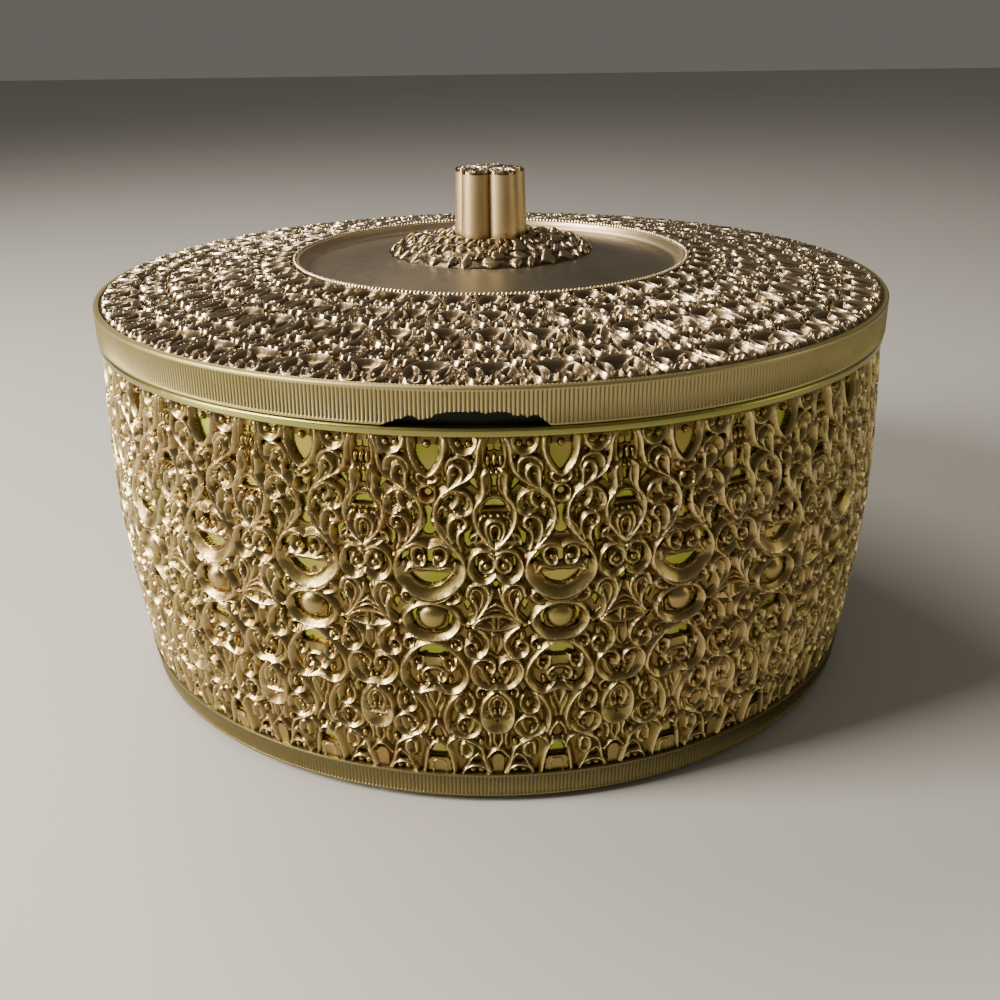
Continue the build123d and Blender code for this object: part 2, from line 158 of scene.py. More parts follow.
class Wire:
    """A socket in a finish's node tree, so that sums on it add the nodes that work them out."""

    def __init__(self, bench, socket):
        self.bench = bench
        self.socket = socket

    def sum_with(self, operation, other, swapped=False):
        first, second = (other, self) if swapped else (self, other)
        return self.bench.add("ShaderNodeMath", {"operation": operation}, {0: first, 1: second})

    def __add__(self, other):
        return self.sum_with("ADD", other)

    def __radd__(self, other):
        return self.sum_with("ADD", other, True)

    def __sub__(self, other):
        return self.sum_with("SUBTRACT", other)

    def __rsub__(self, other):
        return self.sum_with("SUBTRACT", other, True)

    def __mul__(self, other):
        return self.sum_with("MULTIPLY", other)

    def __rmul__(self, other):
        return self.sum_with("MULTIPLY", other, True)

    def __pow__(self, other):
        return self.sum_with("POWER", other)


class Bench:
    """The node tree of one finish, with a plain shader to feed."""

    def __init__(self, name, **constants):
        self.material = bpy.data.materials.new(name)
        self.material.use_nodes = True
        self.tree = self.material.node_tree
        self.tree.nodes.clear()
        self.out = self.tree.nodes.new("ShaderNodeOutputMaterial")
        self.shader = self.tree.nodes.new("ShaderNodeBsdfPrincipled")
        self.tree.links.new(self.shader.outputs[0], self.out.inputs[0])
        for socket, value in constants.items():
            self.shader.inputs[socket.replace("_", " ")].default_value = value

    def add(self, kind, settings=None, sockets=None, out=0):
        """Adds a node with its settings and what its sockets take, and gives one of its outputs."""
        node = self.tree.nodes.new(kind)
        for key, value in (settings or {}).items():
            setattr(node, key, value)
        for key, value in (sockets or {}).items():
            self.plug(node.inputs[key], value)
        return Wire(self, node.outputs[out])

    def plug(self, socket, value):
        if isinstance(value, Wire):
            self.tree.links.new(value.socket, socket)
        elif isinstance(value, tuple) and len(value) == 3 and socket.type == "RGBA":
            socket.default_value = (*value, 1)
        else:
            socket.default_value = value

    def feed(self, **sockets):
        for socket, value in sockets.items():
            self.plug(self.shader.inputs[socket.replace("_", " ")], value)
        return self.material

    def place(self, stretch=(1, 1, 1)):
        spot = self.add("ShaderNodeTexCoord", out=3)
        return self.add("ShaderNodeMapping", {}, {0: spot, "Scale": stretch})

    def kept(self, name):
        """A number that the piece keeps for each of its points."""
        return self.add("ShaderNodeAttribute", {"attribute_name": name}, out=2)

    def noise(self, size, detail=2.0, stretch=(1, 1, 1)):
        """Soft mottling whose patches are about size millimetres across."""
        return self.add("ShaderNodeTexNoise", {}, {
            "Vector": self.place(stretch), "Scale": 1000.0 / size, "Detail": detail})

    def step(self, value, low, high):
        """0 below low, 1 above high and a smooth run between."""
        return self.add("ShaderNodeMapRange", {"interpolation_type": "SMOOTHSTEP"}, {
            "Value": value, "From Min": low, "From Max": high})

    def mix(self, share, first, second):
        return self.add("ShaderNodeMix", {"data_type": "RGBA"}, {0: share, 6: first, 7: second}, out=2)

    def bump(self, height, distance, strength=1.0):
        return self.add("ShaderNodeBump", {}, {
            "Height": height, "Distance": distance * MM, "Strength": strength})


def gilt_relief(name, hollows, faces, crest_wear_and_highlight, polish):
    """Gilt over cast scrollwork: patina and painted shade in the hollows, a painted reflection in the glossy
    flat windows, wear and a painted highlight on the crest lines.
    """
    bench = Bench(name)
    lift = bench.kept("lift")
    crest = bench.kept("crest")
    cloud = bench.step(bench.noise(38, 3), 0.35, 0.65)
    blush = bench.noise(11, 3)
    hollow = bench.mix(cloud, *hollows)
    face = bench.mix(cloud, *faces)
    # Patina and painted shade: the low relief takes the darker hollow tones.
    tone = bench.mix(bench.step(lift, 0.14, 0.90), hollow, face)
    tone = bench.mix(bench.step(blush, 0.62, 0.76) * 0.35, tone, COPPER_BLUSH)
    # Wear and a painted highlight: the crest lines take the crest tone.
    tone = bench.mix(crest ** 1.5 * bench.step(lift, 0.5, 0.8) * 0.8, tone, crest_wear_and_highlight)
    window = 1 - bench.step(lift, 0.03, 0.09)
    # Painted reflection: the flat windows take green and gold tones in place of mirrored surroundings.
    window_reflection = bench.mix(bench.step(bench.noise(16, 2), 0.4, 0.62), WINDOW_GREEN_REFLECTION, WINDOW_GOLD_REFLECTION)
    tone = bench.mix(window, tone, window_reflection)
    spots = bench.step(bench.noise(5.5, 4), 0.69, 0.73) * (1 - bench.step(lift, 0.5, 0.9))
    tone = bench.mix(spots, tone, TARNISH)
    grain = bench.noise(0.55, 2) * 0.2 + bench.noise(2.4, 2) * (1 - window)
    rough = polish + cloud * 0.06 + spots * 0.4 - window * 0.14
    return bench.feed(Base_Color=tone, Metallic=1 - spots * 0.8, Roughness=rough,
                      Normal=bench.bump(grain, 0.4, 0.3))


def gilt_plain(name, first, second, rough, ribbed=False):
    """Gilt over smooth bands, with soft clouds of tone, small rubs and a fine grain; on ribbed bands, painted
    shade in the rib valleys and a black core where the edge is broken.
    """
    bench = Bench(name)
    cloud = bench.noise(45, 3, (1, 1, 2))
    tone = bench.mix(bench.step(cloud, 0.38, 0.64), first, second)
    rub = bench.step(bench.noise(7, 5), 0.66, 0.74)
    tone = bench.mix(rub * 0.5, tone, RUBBED_BROWN)
    polish = rough + cloud * 0.1 + rub * 0.15
    metal = 1.0 - rub * 0.15
    if ribbed:
        core = bench.step(bench.kept("core"), 0.3, 0.7)
        valley = bench.kept("lift")
        # Painted shade darkens the rib valleys.
        tone = bench.mix((1 - valley) * 0.75, tone, PAINTED_RIB_SHADE)
        tone = bench.mix(core, tone, BROKEN_CORE)
        polish = polish + core * 0.3
        metal = metal * (1 - core)
    return bench.feed(Base_Color=tone, Roughness=polish, Metallic=metal,
                      Normal=bench.bump(bench.noise(0.5, 3), 0.02, 0.5))


def satin_gold(name, stretch, first, second, polish):
    """Satin gold with faint brushing, stains and hair scratches, and a painted highlight where the lift mark
    is set.
    """
    bench = Bench(name)
    cloud = bench.noise(30, 4)
    brushed = bench.noise(2.5, 4, stretch)
    tone = bench.mix(bench.step(cloud, 0.35, 0.68), first, second)
    stain = bench.step(bench.noise(13, 4, (1, 2.2, 1)), 0.60, 0.72)
    tone = bench.mix(stain * 0.45, tone, AMBER_STAIN)
    scratch = bench.step(bench.noise(7, 6, (0.8, 5, 1)), 0.69, 0.71)
    tone = bench.mix(scratch * 0.5, tone, DARK_SCRATCH)
    # Painted highlight where the lift mark is set, on the dish's inner wall.
    tone = bench.mix(bench.kept("lift"), tone, PAINTED_WALL_HIGHLIGHT)
    rough = polish + brushed * 0.10 - stain * 0.06 + scratch * 0.2
    return bench.feed(Base_Color=tone, Roughness=rough, Metallic=1.0,
                      Normal=bench.bump(brushed, 0.015, 0.5))


def moulded_black():
    """Black moulded plastic: a fine spark-eroded grain and dust."""
    bench = Bench("moulded_black", Specular_IOR_Level=0.3)
    dust = bench.step(bench.noise(24, 5), 0.5, 0.8)
    tone = bench.mix(dust, (0.006, 0.005, 0.005), (0.016, 0.014, 0.013))
    rough = 0.46 + dust * 0.2
    return bench.feed(Base_Color=tone, Roughness=rough, Normal=bench.bump(bench.noise(0.7, 3), 0.04, 0.35))


def pale_foot():
    """Milky clear plastic, a little yellowed and scuffed."""
    bench = Bench("pale_foot", Subsurface_Weight=0.25, Subsurface_Scale=0.002)
    scuff = bench.step(bench.noise(3, 5), 0.5, 0.7)
    tone = bench.mix(scuff, (0.78, 0.75, 0.64), (0.58, 0.55, 0.45))
    return bench.feed(Base_Color=tone, Roughness=0.3 + scuff * 0.3, Normal=bench.bump(scuff, 0.03, 0.4))


def zinc_steel():
    """Zinc plated steel with fine machining lines and dull patches."""
    bench = Bench("zinc_steel")
    dull = bench.noise(4, 4)
    lines = bench.noise(0.8, 2, (1, 1, 5))
    tone = bench.mix(bench.step(dull, 0.4, 0.7), (0.66, 0.66, 0.65), (0.48, 0.47, 0.44))
    return bench.feed(Base_Color=tone, Metallic=1.0, Roughness=0.28 + dull * 0.25,
                      Normal=bench.bump(lines, 0.03, 0.4))


# Hollow tones are patina with painted shade, and crest tones are wear with a painted highlight.
GILT_RELIEF = gilt_relief(
    "gilt_relief", hollows=((0.21, 0.145, 0.050), (0.17, 0.125, 0.036)),
    faces=((0.40, 0.290, 0.120), (0.35, 0.275, 0.095)), crest_wear_and_highlight=(0.76, 0.63, 0.35), polish=0.30)
GILT_CROWN = gilt_relief(
    "gilt_crown", hollows=((0.18, 0.125, 0.070), (0.145, 0.103, 0.056)),
    faces=((0.36, 0.262, 0.145), (0.315, 0.230, 0.125)), crest_wear_and_highlight=(0.90, 0.77, 0.53), polish=0.22)
GILT_ROSETTE = gilt_relief(
    "gilt_rosette", hollows=((0.11, 0.082, 0.048), (0.09, 0.068, 0.040)),
    faces=((0.50, 0.390, 0.230), (0.43, 0.335, 0.190)), crest_wear_and_highlight=(0.90, 0.77, 0.53), polish=0.24)
GILT_SKIRT = gilt_plain("gilt_ribs", (0.45, 0.385, 0.18), (0.36, 0.32, 0.125), 0.38, ribbed=True)
# Painted shade: the bottom band's gilt is darker than the skirt's.
GILT_BASE_PAINTED_DARK = gilt_plain("gilt_base_ribs_painted_dark", (0.21, 0.18, 0.075), (0.17, 0.148, 0.06), 0.32, ribbed=True)
GILT_BAND = gilt_plain("gilt_band", (0.33, 0.33, 0.10), (0.33, 0.29, 0.10), 0.24)
# Painted reflection: the dish's satin gold is darkened for the dark surroundings it mirrors.
SATIN_DISH_PAINTED_DARK = satin_gold("satin_dish_painted_dark", (1, 1, 1), (0.25, 0.205, 0.14), (0.20, 0.17, 0.12), 0.33)
SATIN_KNOB = satin_gold("satin_knob", (6, 6, 0.4), (0.60, 0.47, 0.27), (0.50, 0.38, 0.21), 0.44)
MOULDED_BLACK = moulded_black()
PALE_FOOT = pale_foot()
ZINC_STEEL = zinc_steel()


# Making pieces

def put_down():
    bpy.ops.object.select_all(action="DESELECT")


def pick(piece):
    put_down()
    piece.select_set(True)
    bpy.context.view_layer.objects.active = piece


def open_mesh(choice=None):
    """Edit mode, with all selected, nothing selected or the selection as it is."""
    bpy.ops.object.mode_set(mode="EDIT")
    if choice:
        bpy.ops.mesh.select_all(action=choice)


def leave_mesh():
    bpy.ops.object.mode_set(mode="OBJECT")


def apply_to(piece, kind, **settings):
    """Adds a modifier with its settings and applies it."""
    modifier = piece.modifiers.new(kind.lower(), kind)
    for key, value in settings.items():
        setattr(modifier, key, value)
    bpy.ops.object.modifier_apply(modifier=modifier.name)


def spots_of(piece):
    spots = np.empty(len(piece.data.vertices) * 3)
    piece.data.vertices.foreach_get("co", spots)
    return spots.reshape(-1, 3) / MM


def set_spots(piece, x, y, z):
    spots = np.stack(np.broadcast_arrays(x, y, z), axis=-1) * MM
    piece.data.vertices.foreach_set("co", spots.astype(np.float32).ravel())
    piece.data.update()


def set_round(piece, radius, turn, z):
    """Moves each point to a radius, a direction and a height."""
    set_spots(piece, radius * np.cos(turn), radius * np.sin(turn), z)


def name_piece(piece, name):
    piece.name = name
    piece.data.name = name
    return piece


def mark(piece, name, values):
    """Keeps one number for each point of a piece, for its finish to read."""
    layer = piece.data.attributes.get(name) or piece.data.attributes.new(name, "FLOAT", "POINT")
    values = np.broadcast_to(values, len(piece.data.vertices))
    layer.data.foreach_set("value", values.astype(np.float32))


def marked(piece, name):
    values = np.empty(len(piece.data.vertices), np.float32)
    piece.data.attributes[name].data.foreach_get("value", values)
    return values


def blank(name, columns, rows):
    """A flat grid to be shaped, with each point's column and row."""
    put_down()
    bpy.ops.mesh.primitive_grid_add(x_subdivisions=columns, y_subdivisions=rows, size=2 * MM)
    piece = name_piece(bpy.context.object, name)
    spots = spots_of(piece)
    column = np.rint((spots[:, 0] + 1) / 2 * columns).astype(int)
    row = np.rint((spots[:, 1] + 1) / 2 * rows).astype(int)
    return piece, column, row


def close_up(piece, gap=0.0005):
    """Joins the doubled points of a wrapped or spun shape and turns its faces outwards."""
    pick(piece)
    open_mesh("SELECT")
    bpy.ops.mesh.remove_doubles(threshold=gap * MM)
    bpy.ops.mesh.dissolve_degenerate(threshold=gap * MM)
    bpy.ops.mesh.normals_make_consistent(inside=False)
    leave_mesh()
    return piece


def finish(piece, body, nodes, material, smooth=38):
    """Smooths a piece, gives it its finish and puts it on its body."""
    pick(piece)
    bpy.ops.object.shade_smooth_by_angle(angle=math.radians(smooth))
    piece.data.materials.clear()
    piece.data.materials.append(material)
    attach(piece, body)
    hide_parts(*nodes)
    put_down()
    return piece


def softened(outline):
    """Points of a closed outline of (radius, height, rounding), with each rounded corner as an arc."""
    points = []
    for i, (r, z, rounding) in enumerate(outline):
        here = np.array([r, z])
        if not rounding:
            points.append(here)
            continue
        before = np.array(outline[i - 1][:2]) - here
        after = np.array(outline[(i + 1) % len(outline)][:2]) - here
        start = here + before / np.linalg.norm(before) * rounding
        end = here + after / np.linalg.norm(after) * rounding
        for t in np.linspace(0, 1, 5):
            points.append((1 - t) ** 2 * start + 2 * t * (1 - t) * here + t * t * end)
    return points


def turned(name, outline, steps=360):
    """A closed outline in the upright plane, spun into a ring or a disc."""
    points = np.array(softened(outline))
    put_down()
    bpy.ops.mesh.primitive_circle_add(vertices=len(points), radius=MM)
    piece = name_piece(bpy.context.object, name)
    set_spots(piece, points[:, 0], 0, points[:, 1])
    open_mesh("SELECT")
    bpy.ops.mesh.spin(steps=steps, angle=2 * math.pi, center=(0, 0, 0), axis=(0, 0, 1))
    leave_mesh()
    return close_up(piece)


def stand_at(piece, x, y, direction=0.0):
    """Moves a piece's mesh from the middle to its place in plan."""
    turn = Matrix.Rotation(math.radians(direction), 4, "Z")
    piece.data.transform(Matrix.Translation((x * MM, y * MM, 0)) @ turn)
    return piece


def copy_of(piece, name, turn=0.0):
    copy = piece.copy()
    copy.data = piece.data.copy()
    bpy.context.scene.collection.objects.link(copy)
    copy.data.transform(Matrix.Rotation(math.radians(turn), 4, "Z"))
    return name_piece(copy, name)


def finish_sectors(sector, stem, body, node, material):
    """Copies a sector of relief round the box, and finishes all of them."""
    for number in range(2, SECTORS + 1):
        copy = copy_of(sector, f"{stem}_{number}", 360 / SECTORS * (number - 1))
        finish(copy, body, [node], material)
    finish(sector, body, [node], material)


def plan_point(radius, direction):
    angle = math.radians(direction)
    return radius * math.cos(angle), radius * math.sin(angle)


# Relief drawing

# The farthest distance that is measured, the widest flank, the reach from which a flank is hollowed, and
# how far from its line a crest keeps its painted highlight
FAR_OFF = 9.0
WIDEST_FLANK = 3.7
HOLLOWED_FLANK = 1.75
CREST_WIDTH = 0.55


def curve_through(points, steps=4):
    """Points along a smooth line through the drawn ones."""
    p = np.array(points, float)
    p = np.vstack([2 * p[0] - p[1], p, 2 * p[-1] - p[-2]])
    run = []
    for a, b, c, d in zip(p, p[1:], p[2:], p[3:]):
        for t in np.arange(steps) / steps:
            run.append(0.5 * (2 * b + (c - a) * t + (2 * a - 5 * b + 4 * c - d) * t * t
                              + (3 * b - a - 3 * c + d) * t ** 3))
    run.append(p[-2])
    return np.array(run)


def within(x, v, outline):
    """Which points lie inside a drawn outline."""
    inside = np.zeros(x.shape, bool)
    for (x0, v0), (x1, v1) in zip(outline, outline[1:] + outline[:1]):
        if v0 != v1:
            inside ^= ((v0 > v) != (v1 > v)) & (x < (x1 - x0) * (v - v0) / (v1 - v0) + x0)
    return inside


def from_line(line, x, v):
    """Distance of each point from a drawn line, and which side of it the point is on."""
    best, side = np.full(x.shape, FAR_OFF ** 2), np.zeros(x.shape)
    for (x0, v0), (x1, v1) in zip(line, line[1:]):
        dx, dv = x1 - x0, v1 - v0
        t = np.clip(((x - x0) * dx + (v - v0) * dv) / max(dx * dx + dv * dv, 1e-12), 0, 1)
        gap = (x - x0 - t * dx) ** 2 + (v - v0 - t * dv) ** 2
        closer = gap < best - 1e-9
        best = np.where(closer, gap, best)
        side = np.where(closer, dx * (v - v0) - dv * (x - x0), side)
    return np.sqrt(best), side


def flank(share, reach, second_rim):
    """Fall from a crest: plain on a narrow side, a hollow with a low second rim on a wide one."""
    hollow = (1 - share) ** 1.6
    hollow = np.maximum(hollow, second_rim * np.clip(1 - ((share - 0.86) / 0.14) ** 2, 0, 1))
    return np.where(reach >= HOLLOWED_FLANK, hollow, (1 - share) ** 1.3)


def widened(reach):
    """Drawn reach of a flank, let out so that neighbouring scrolls meet."""
    return reach * np.interp(reach, [0.4, 0.9, 1.5, 2.3], [2.1, 1.75, 1.3, 1.0])


def carve(x, v, scrolls, beads, windows=(), ledges=(), ground=0.50, second_rim=0.40, blunt=0.5,
          droop=0.0):
    """Height of the drawn relief at each point, and how near it is to a crest."""
    height = np.full(x.shape, ground)
    nearest = np.full(x.shape, FAR_OFF)
    for points, right, left, top in scrolls:
        line = curve_through(points)
        low, high = line.min(0) - WIDEST_FLANK, line.max(0) + WIDEST_FLANK
        near = (x >= low[0]) & (x <= high[0]) & (v >= low[1]) & (v <= high[1])
        far, side = from_line(line, x[near], v[near])
        nearest[near] = np.minimum(nearest[near], far)
        reach = np.where(side > 0, widened(right), widened(left))
        fall = flank(np.clip(far / reach, 0, 1), reach, second_rim)
        height[near] = np.maximum(height[near], ground + (top - ground) * fall)
    for outline, level in ledges:
        height = np.where(within(x, v, outline), np.maximum(height, level), height)
    for outline, level in windows:
        height = np.where(within(x, v, outline), level, height)
    for bx, bv, rx, rv, base, rise in beads:
        q = ((x - bx) / rx) ** 2 + ((v - bv) / rv) ** 2
        bump = np.clip(1 - q, 0, 1) ** blunt * (1 - droop * (v - bv) / rv)
        height = np.where(q < 1, np.maximum(height, base + rise * bump), height)
    return height, np.clip(1 - nearest / CREST_WIDTH, 0, 1)


# Drum scrolls, from the axis of the bosses (0) to the axis between them (16.23), and down from
# the drum's top. Each is its crest line, the reach of its right and left flank, and its crest
# height.
DRUM_SCROLLS = [
    ([(4.3, 0.8), (4.2, 3.5), (3.6, 6.0), (2.6, 8.0), (1.3, 9.6), (0, 10.3)], 1.5, 0.9, 2.2),
    ([(0.6, 11.9), (1.6, 11.7), (2.4, 10.9), (2.3, 10.0), (1.7, 9.6)], .6, .6, 1.9),
    ([(5.5, 0.9), (6.0, 2.6), (7.2, 4.2), (9.0, 4.8), (10.8, 4.1), (11.9, 2.6), (12.2, 0.9)], .6, 1.6, 2.0),
    ([(13.2, 0.9), (12.4, 3.4), (12.1, 6.2), (11.4, 8.8), (10.1, 10.5), (8.4, 11.6), (6.7, 12.5),
      (5.0, 13.6),
      (3.4, 15.0), (2.2, 16.8), (1.6, 18.8), (1.6, 20.6), (2.1, 22.8), (3.2, 25.1), (4.8, 27.2),
        (6.4, 28.9)],
     1.0, 1.2, 2.3),
    ([(4.5, 8.6), (4.9, 6.9), (6.2, 5.7), (8.0, 5.3), (9.7, 5.9), (10.6, 7.2), (10.6, 8.8)], 1.8, .5, 1.9),
    ([(5.1, 13.3), (5.2, 11.3), (5.2, 9.4), (5.7, 8.0), (6.7, 7.3), (7.9, 7.9), (8.6, 9.2), (8.3, 10.8),
      (7.3, 12.2)], .9, .6, 2.2),
    ([(14.0, 0.9), (13.6, 3.0), (13.5, 5.5), (13.9, 7.8)], .6, .6, 1.6),
    ([(14.3, 8.7), (13.4, 9.9), (13.4, 12.0), (13.6, 14.0), (13.0, 15.8), (11.9, 17.2), (11.2, 19.0),
      (11.2, 21.0), (11.7, 23.0), (12.7, 25.0), (14.2, 26.9), (15.6, 28.2), (16.23, 28.7)], .8, 1.5, 2.3),
    ([(14.8, 9.6), (15.1, 11.0), (15.0, 12.8), (14.4, 14.6)], .5, .5, 1.6),
    ([(12.4, 18.9), (13.2, 16.9), (14.6, 15.6), (16.23, 15.2)], .6, .5, 1.8),
    ([(12.6, 18.8), (14.4, 18.6), (16.23, 18.6)], .8, .4, 1.5),
    ([(12.2, 23.2), (12.3, 21.6), (13.2, 20.4)], .6, .6, 1.8),
    ([(14.9, 27.0), (14.0, 24.8), (14.1, 22.8), (15.0, 21.7), (16.23, 21.4)], .8, .8, 2.0),
    ([(15.6, 26.4), (15.1, 24.8), (15.3, 23.2), (16.23, 22.5)], .5, .5, 1.9),
    ([(0, 12.4), (1.5, 13.0), (2.1, 14.6), (1.5, 16.2), (0, 16.8)], .6, .4, 2.4),
    ([(4.6, 25.8), (3.6, 23.4), (1.9, 21.6), (0.5, 21.3)], .4, 1.3, 2.0),
    ([(4.6, 25.8), (2.6, 24.6), (1.1, 23.0), (0.5, 21.3)], .8, .4, 1.6),
    ([(3.7, 15.3), (5.2, 14.0), (7.2, 13.6), (9.2, 14.4), (10.6, 16.0), (10.9, 17.9), (10.1, 19.5),
      (8.6, 20.1),
      (7.4, 19.6)], 1.5, .5, 2.2),
    ([(7.0, 14.2), (7.4, 15.5), (7.0, 17.0), (6.1, 18.3)], .8, .8, 2.1),
    ([(9.6, 15.6), (9.9, 17.2), (9.2, 18.6)], .6, .6, 1.5),
    ([(2.5, 19.6), (2.9, 18.5), (3.9, 17.9), (4.7, 18.4)], .6, .6, 1.9),
    ([(5.6, 27.2), (4.9, 25.2), (4.8, 23.3), (5.3, 21.7), (6.5, 20.6), (8.0, 20.5), (9.1, 21.4),
      (9.2, 22.7),
      (8.4, 23.5), (7.6, 23.3)], 1.2, .7, 2.2),
    ([(8.5, 23.8), (7.6, 24.6), (7.2, 26.0), (7.4, 27.8), (7.9, 29.2)], .9, .6, 2.1),
    ([(9.9, 27.6), (10.2, 25.8), (12.2, 24.4)], .9, .4, 2.1),
    ([(9.9, 27.6), (11.6, 26.4), (12.2, 24.4)], .4, .9, 1.7),
    ([(16.1, 29.0), (13.6, 27.0), (10.8, 26.8)], .4, 1.2, 2.2),
    ([(16.1, 29.0), (13.2, 28.9), (10.8, 26.8)], .9, .4, 1.7),
    ([(0, 28.7), (1.5, 27.9), (3.2, 27.6), (5.2, 28.4), (7.0, 30.1), (8.3, 32.2),
      (8.8, 34.6)], 1.2, .8, 2.4),
    ([(8.8, 34.6), (8.4, 36.9), (7.1, 38.9), (5.2, 40.7), (2.8, 42.2), (0, 42.9)], 3.6, .8, 2.4),
    ([(0, 34.4), (2.4, 34.5), (4.0, 34.0), (5.2, 34.2), (6.2, 35.6)], .5, .9, 1.9),
    ([(0.9, 30.2), (1.6, 28.9), (3.0, 28.6), (4.2, 29.6), (4.4, 31.2), (3.7, 32.8), (2.4, 33.6),
      (1.2, 33.0),
      (1.1, 31.8)], .9, .6, 2.1),
    ([(5.6, 35.6), (6.3, 34.4), (6.3, 33.2)], .8, .5, 1.7),
    ([(16.0, 30.2), (14.4, 29.4), (12.4, 29.4), (10.6, 30.8), (9.6, 33.0), (9.7, 35.2), (10.9, 37.2),
      (12.9, 38.2), (14.9, 37.6), (16.23, 35.9)], .6, 1.5, 2.3),
    ([(14.9, 30.4), (16.0, 31.6), (16.1, 33.4), (15.2, 34.9), (13.9, 35.3), (12.6, 34.6), (12.4, 33.2),
      (13.2, 32.2)], .9, .7, 1.9),
    ([(8.9, 41.8), (9.3, 39.9), (10.5, 38.7), (12.3, 38.5), (13.9, 39.6), (14.6, 41.5), (14.3, 43.6),
      (13.2, 45.7), (11.8, 47.7), (10.3, 49.2)], 1.3, .6, 2.2),
    ([(10.0, 42.8), (10.1, 41.0), (11.0, 39.9), (12.3, 40.3), (13.0, 41.9), (12.7, 44.0), (11.8, 45.8)],
     .8, .6, 1.8),
    ([(10.6, 43.2), (11.3, 44.8), (11.4, 46.6), (10.7, 48.4), (9.9, 49.4)], .8, .8, 2.1),
    ([(15.3, 40.2), (14.9, 42.6), (13.8, 45.0), (12.2, 47.4)], .6, .6, 1.9),
    ([(10.4, 49.3), (12.0, 47.0), (14.0, 45.2), (16.23, 43.9)], .6, .6, 1.9),
    ([(10.8, 49.2), (13.0, 47.0), (14.8, 46.0), (16.23, 45.6)], .5, .5, 1.7),
    ([(0, 43.9), (2.6, 43.4), (4.4, 42.2), (5.4, 41.0), (6.6, 40.8), (7.3, 41.9), (6.9, 43.2), (5.7, 43.9),
      (4.4, 44.0)], .7, .7, 2.0),
    ([(0, 43.8), (3.0, 44.4), (5.6, 46.0), (7.0, 48.2), (6.9, 50.4), (5.4, 52.6), (3.0, 54.0), (0, 54.5)],
     2.3, .7, 2.4),
    ([(7.3, 49.0), (8.2, 49.9), (9.6, 49.6)], .5, .5, 1.8),
    ([(10.3, 50.0), (12.0, 48.3), (14.2, 47.4), (16.23, 47.2)], 1.8, .4, 2.2),
    ([(10.3, 50.0), (12.6, 50.9), (14.6, 51.4), (16.23, 51.6)], .4, 1.0, 1.8),
    ([(15.7, 47.9), (15.6, 49.6), (15.8, 51.3)], .5, .5, 1.6),
    ([(10.6, 50.6), (12.3, 51.9), (13.7, 53.8), (14.2, 56.0), (13.4, 58.2), (11.6, 59.6), (9.6, 59.4),
      (8.3, 58.0), (8.3, 56.2), (9.4, 55.0), (10.8, 55.3), (11.3, 56.6)], 1.4, .6, 2.2),
    ([(16.23, 52.9), (15.2, 53.2), (14.9, 55.0), (15.3, 57.2), (16.23, 58.6)], .6, .6, 1.5),
    ([(3.2, 54.6), (4.8, 53.9), (6.6, 54.3), (7.5, 55.6), (7.1, 57.0), (5.9, 57.4),
      (5.0, 56.6)], .7, .6, 1.9),
    ([(0, 55.2), (2.4, 55.8), (4.6, 57.4), (6.7, 59.8), (8.1, 62.4), (8.7, 65.0), (8.2, 67.6), (6.6, 69.7),
      (4.4, 70.7), (2.4, 70.2), (0, 69.4)], 1.7, .8, 2.4),
    ([(2.5, 59.9), (2.8, 62.2), (4.3, 63.5), (5.6, 62.5), (5.9, 60.6)], .6, .8, 2.1),
    ([(0, 62.9), (1.6, 63.1), (2.8, 64.2), (3.2, 65.8), (2.4, 67.0), (1.3, 66.8)], .8, .6, 2.0),
    ([(1.4, 67.8), (2.2, 69.2), (3.6, 70.3)], .7, .5, 2.0),
    ([(15.1, 64.2), (15.8, 62.6), (15.1, 60.9), (13.3, 59.9), (11.3, 60.3), (9.9, 61.9), (9.5, 64.0),
      (10.2, 66.4), (11.9, 68.3), (14.0, 69.2), (16.23, 69.0)], .6, 1.7, 2.3),
    ([(11.9, 62.6), (12.6, 65.0), (14.0, 67.6)], .9, .6, 1.6),
    ([(11.2, 71.9), (10.7, 70.4), (11.6, 69.0), (13.4, 68.9)], .8, .5, 2.0),
    ([(15.2, 70.2), (13.6, 71.9), (12.4, 74.0), (11.9, 76.6), (12.0, 79.4)], .7, 1.5, 2.3),
    ([(12.0, 79.4), (12.9, 81.7), (14.4, 83.0), (16.23, 83.4)], .7, 3.6, 2.3),
    ([(12.2, 78.7), (14.2, 79.0), (16.23, 79.0)], .5, .7, 1.6),
    ([(14.9, 77.4), (13.9, 75.4), (14.0, 73.4), (15.0, 71.8), (16.23, 71.2)], .8, .6, 2.0),
    ([(15.4, 75.0), (15.2, 73.4), (16.23, 72.3)], .5, .5, 1.8),
    ([(1.5, 71.0), (0.9, 72.8), (0, 74.8)], 1.4, .4, 2.1),
    ([(6.0, 71.2), (4.6, 72.6), (3.4, 74.6), (2.5, 76.8), (2.1, 79.2), (2.4, 81.6),
      (3.2, 83.6)], .7, 1.2, 2.2),
    ([(2.3, 72.3), (1.9, 74.6), (1.0, 76.6), (0.6, 78.6)], .6, .6, 1.7),
    ([(5.6, 72.5), (5.1, 74.4), (5.6, 76.3), (7.2, 77.2), (8.9, 76.9), (10.0, 75.3), (10.2, 73.2),
      (9.6, 71.4)],
     .5, 1.2, 2.1),
    ([(5.6, 80.3), (6.4, 78.8), (8.0, 78.1), (9.8, 78.6), (11.3, 80.0), (11.7, 81.9), (10.8, 83.8),
      (8.9, 85.0),
      (6.6, 85.0), (4.5, 84.0), (3.4, 82.4)], 1.4, .6, 2.2),
    ([(5.2, 81.2), (6.0, 82.9), (7.4, 84.2)], .7, .5, 1.7),
    ([(9.8, 79.9), (9.5, 81.9), (8.6, 83.6)], .7, .7, 1.6),
    ([(2.2, 84.6), (1.6, 82.6), (0.6, 81.2), (0, 80.7)], .9, .6, 2.2),
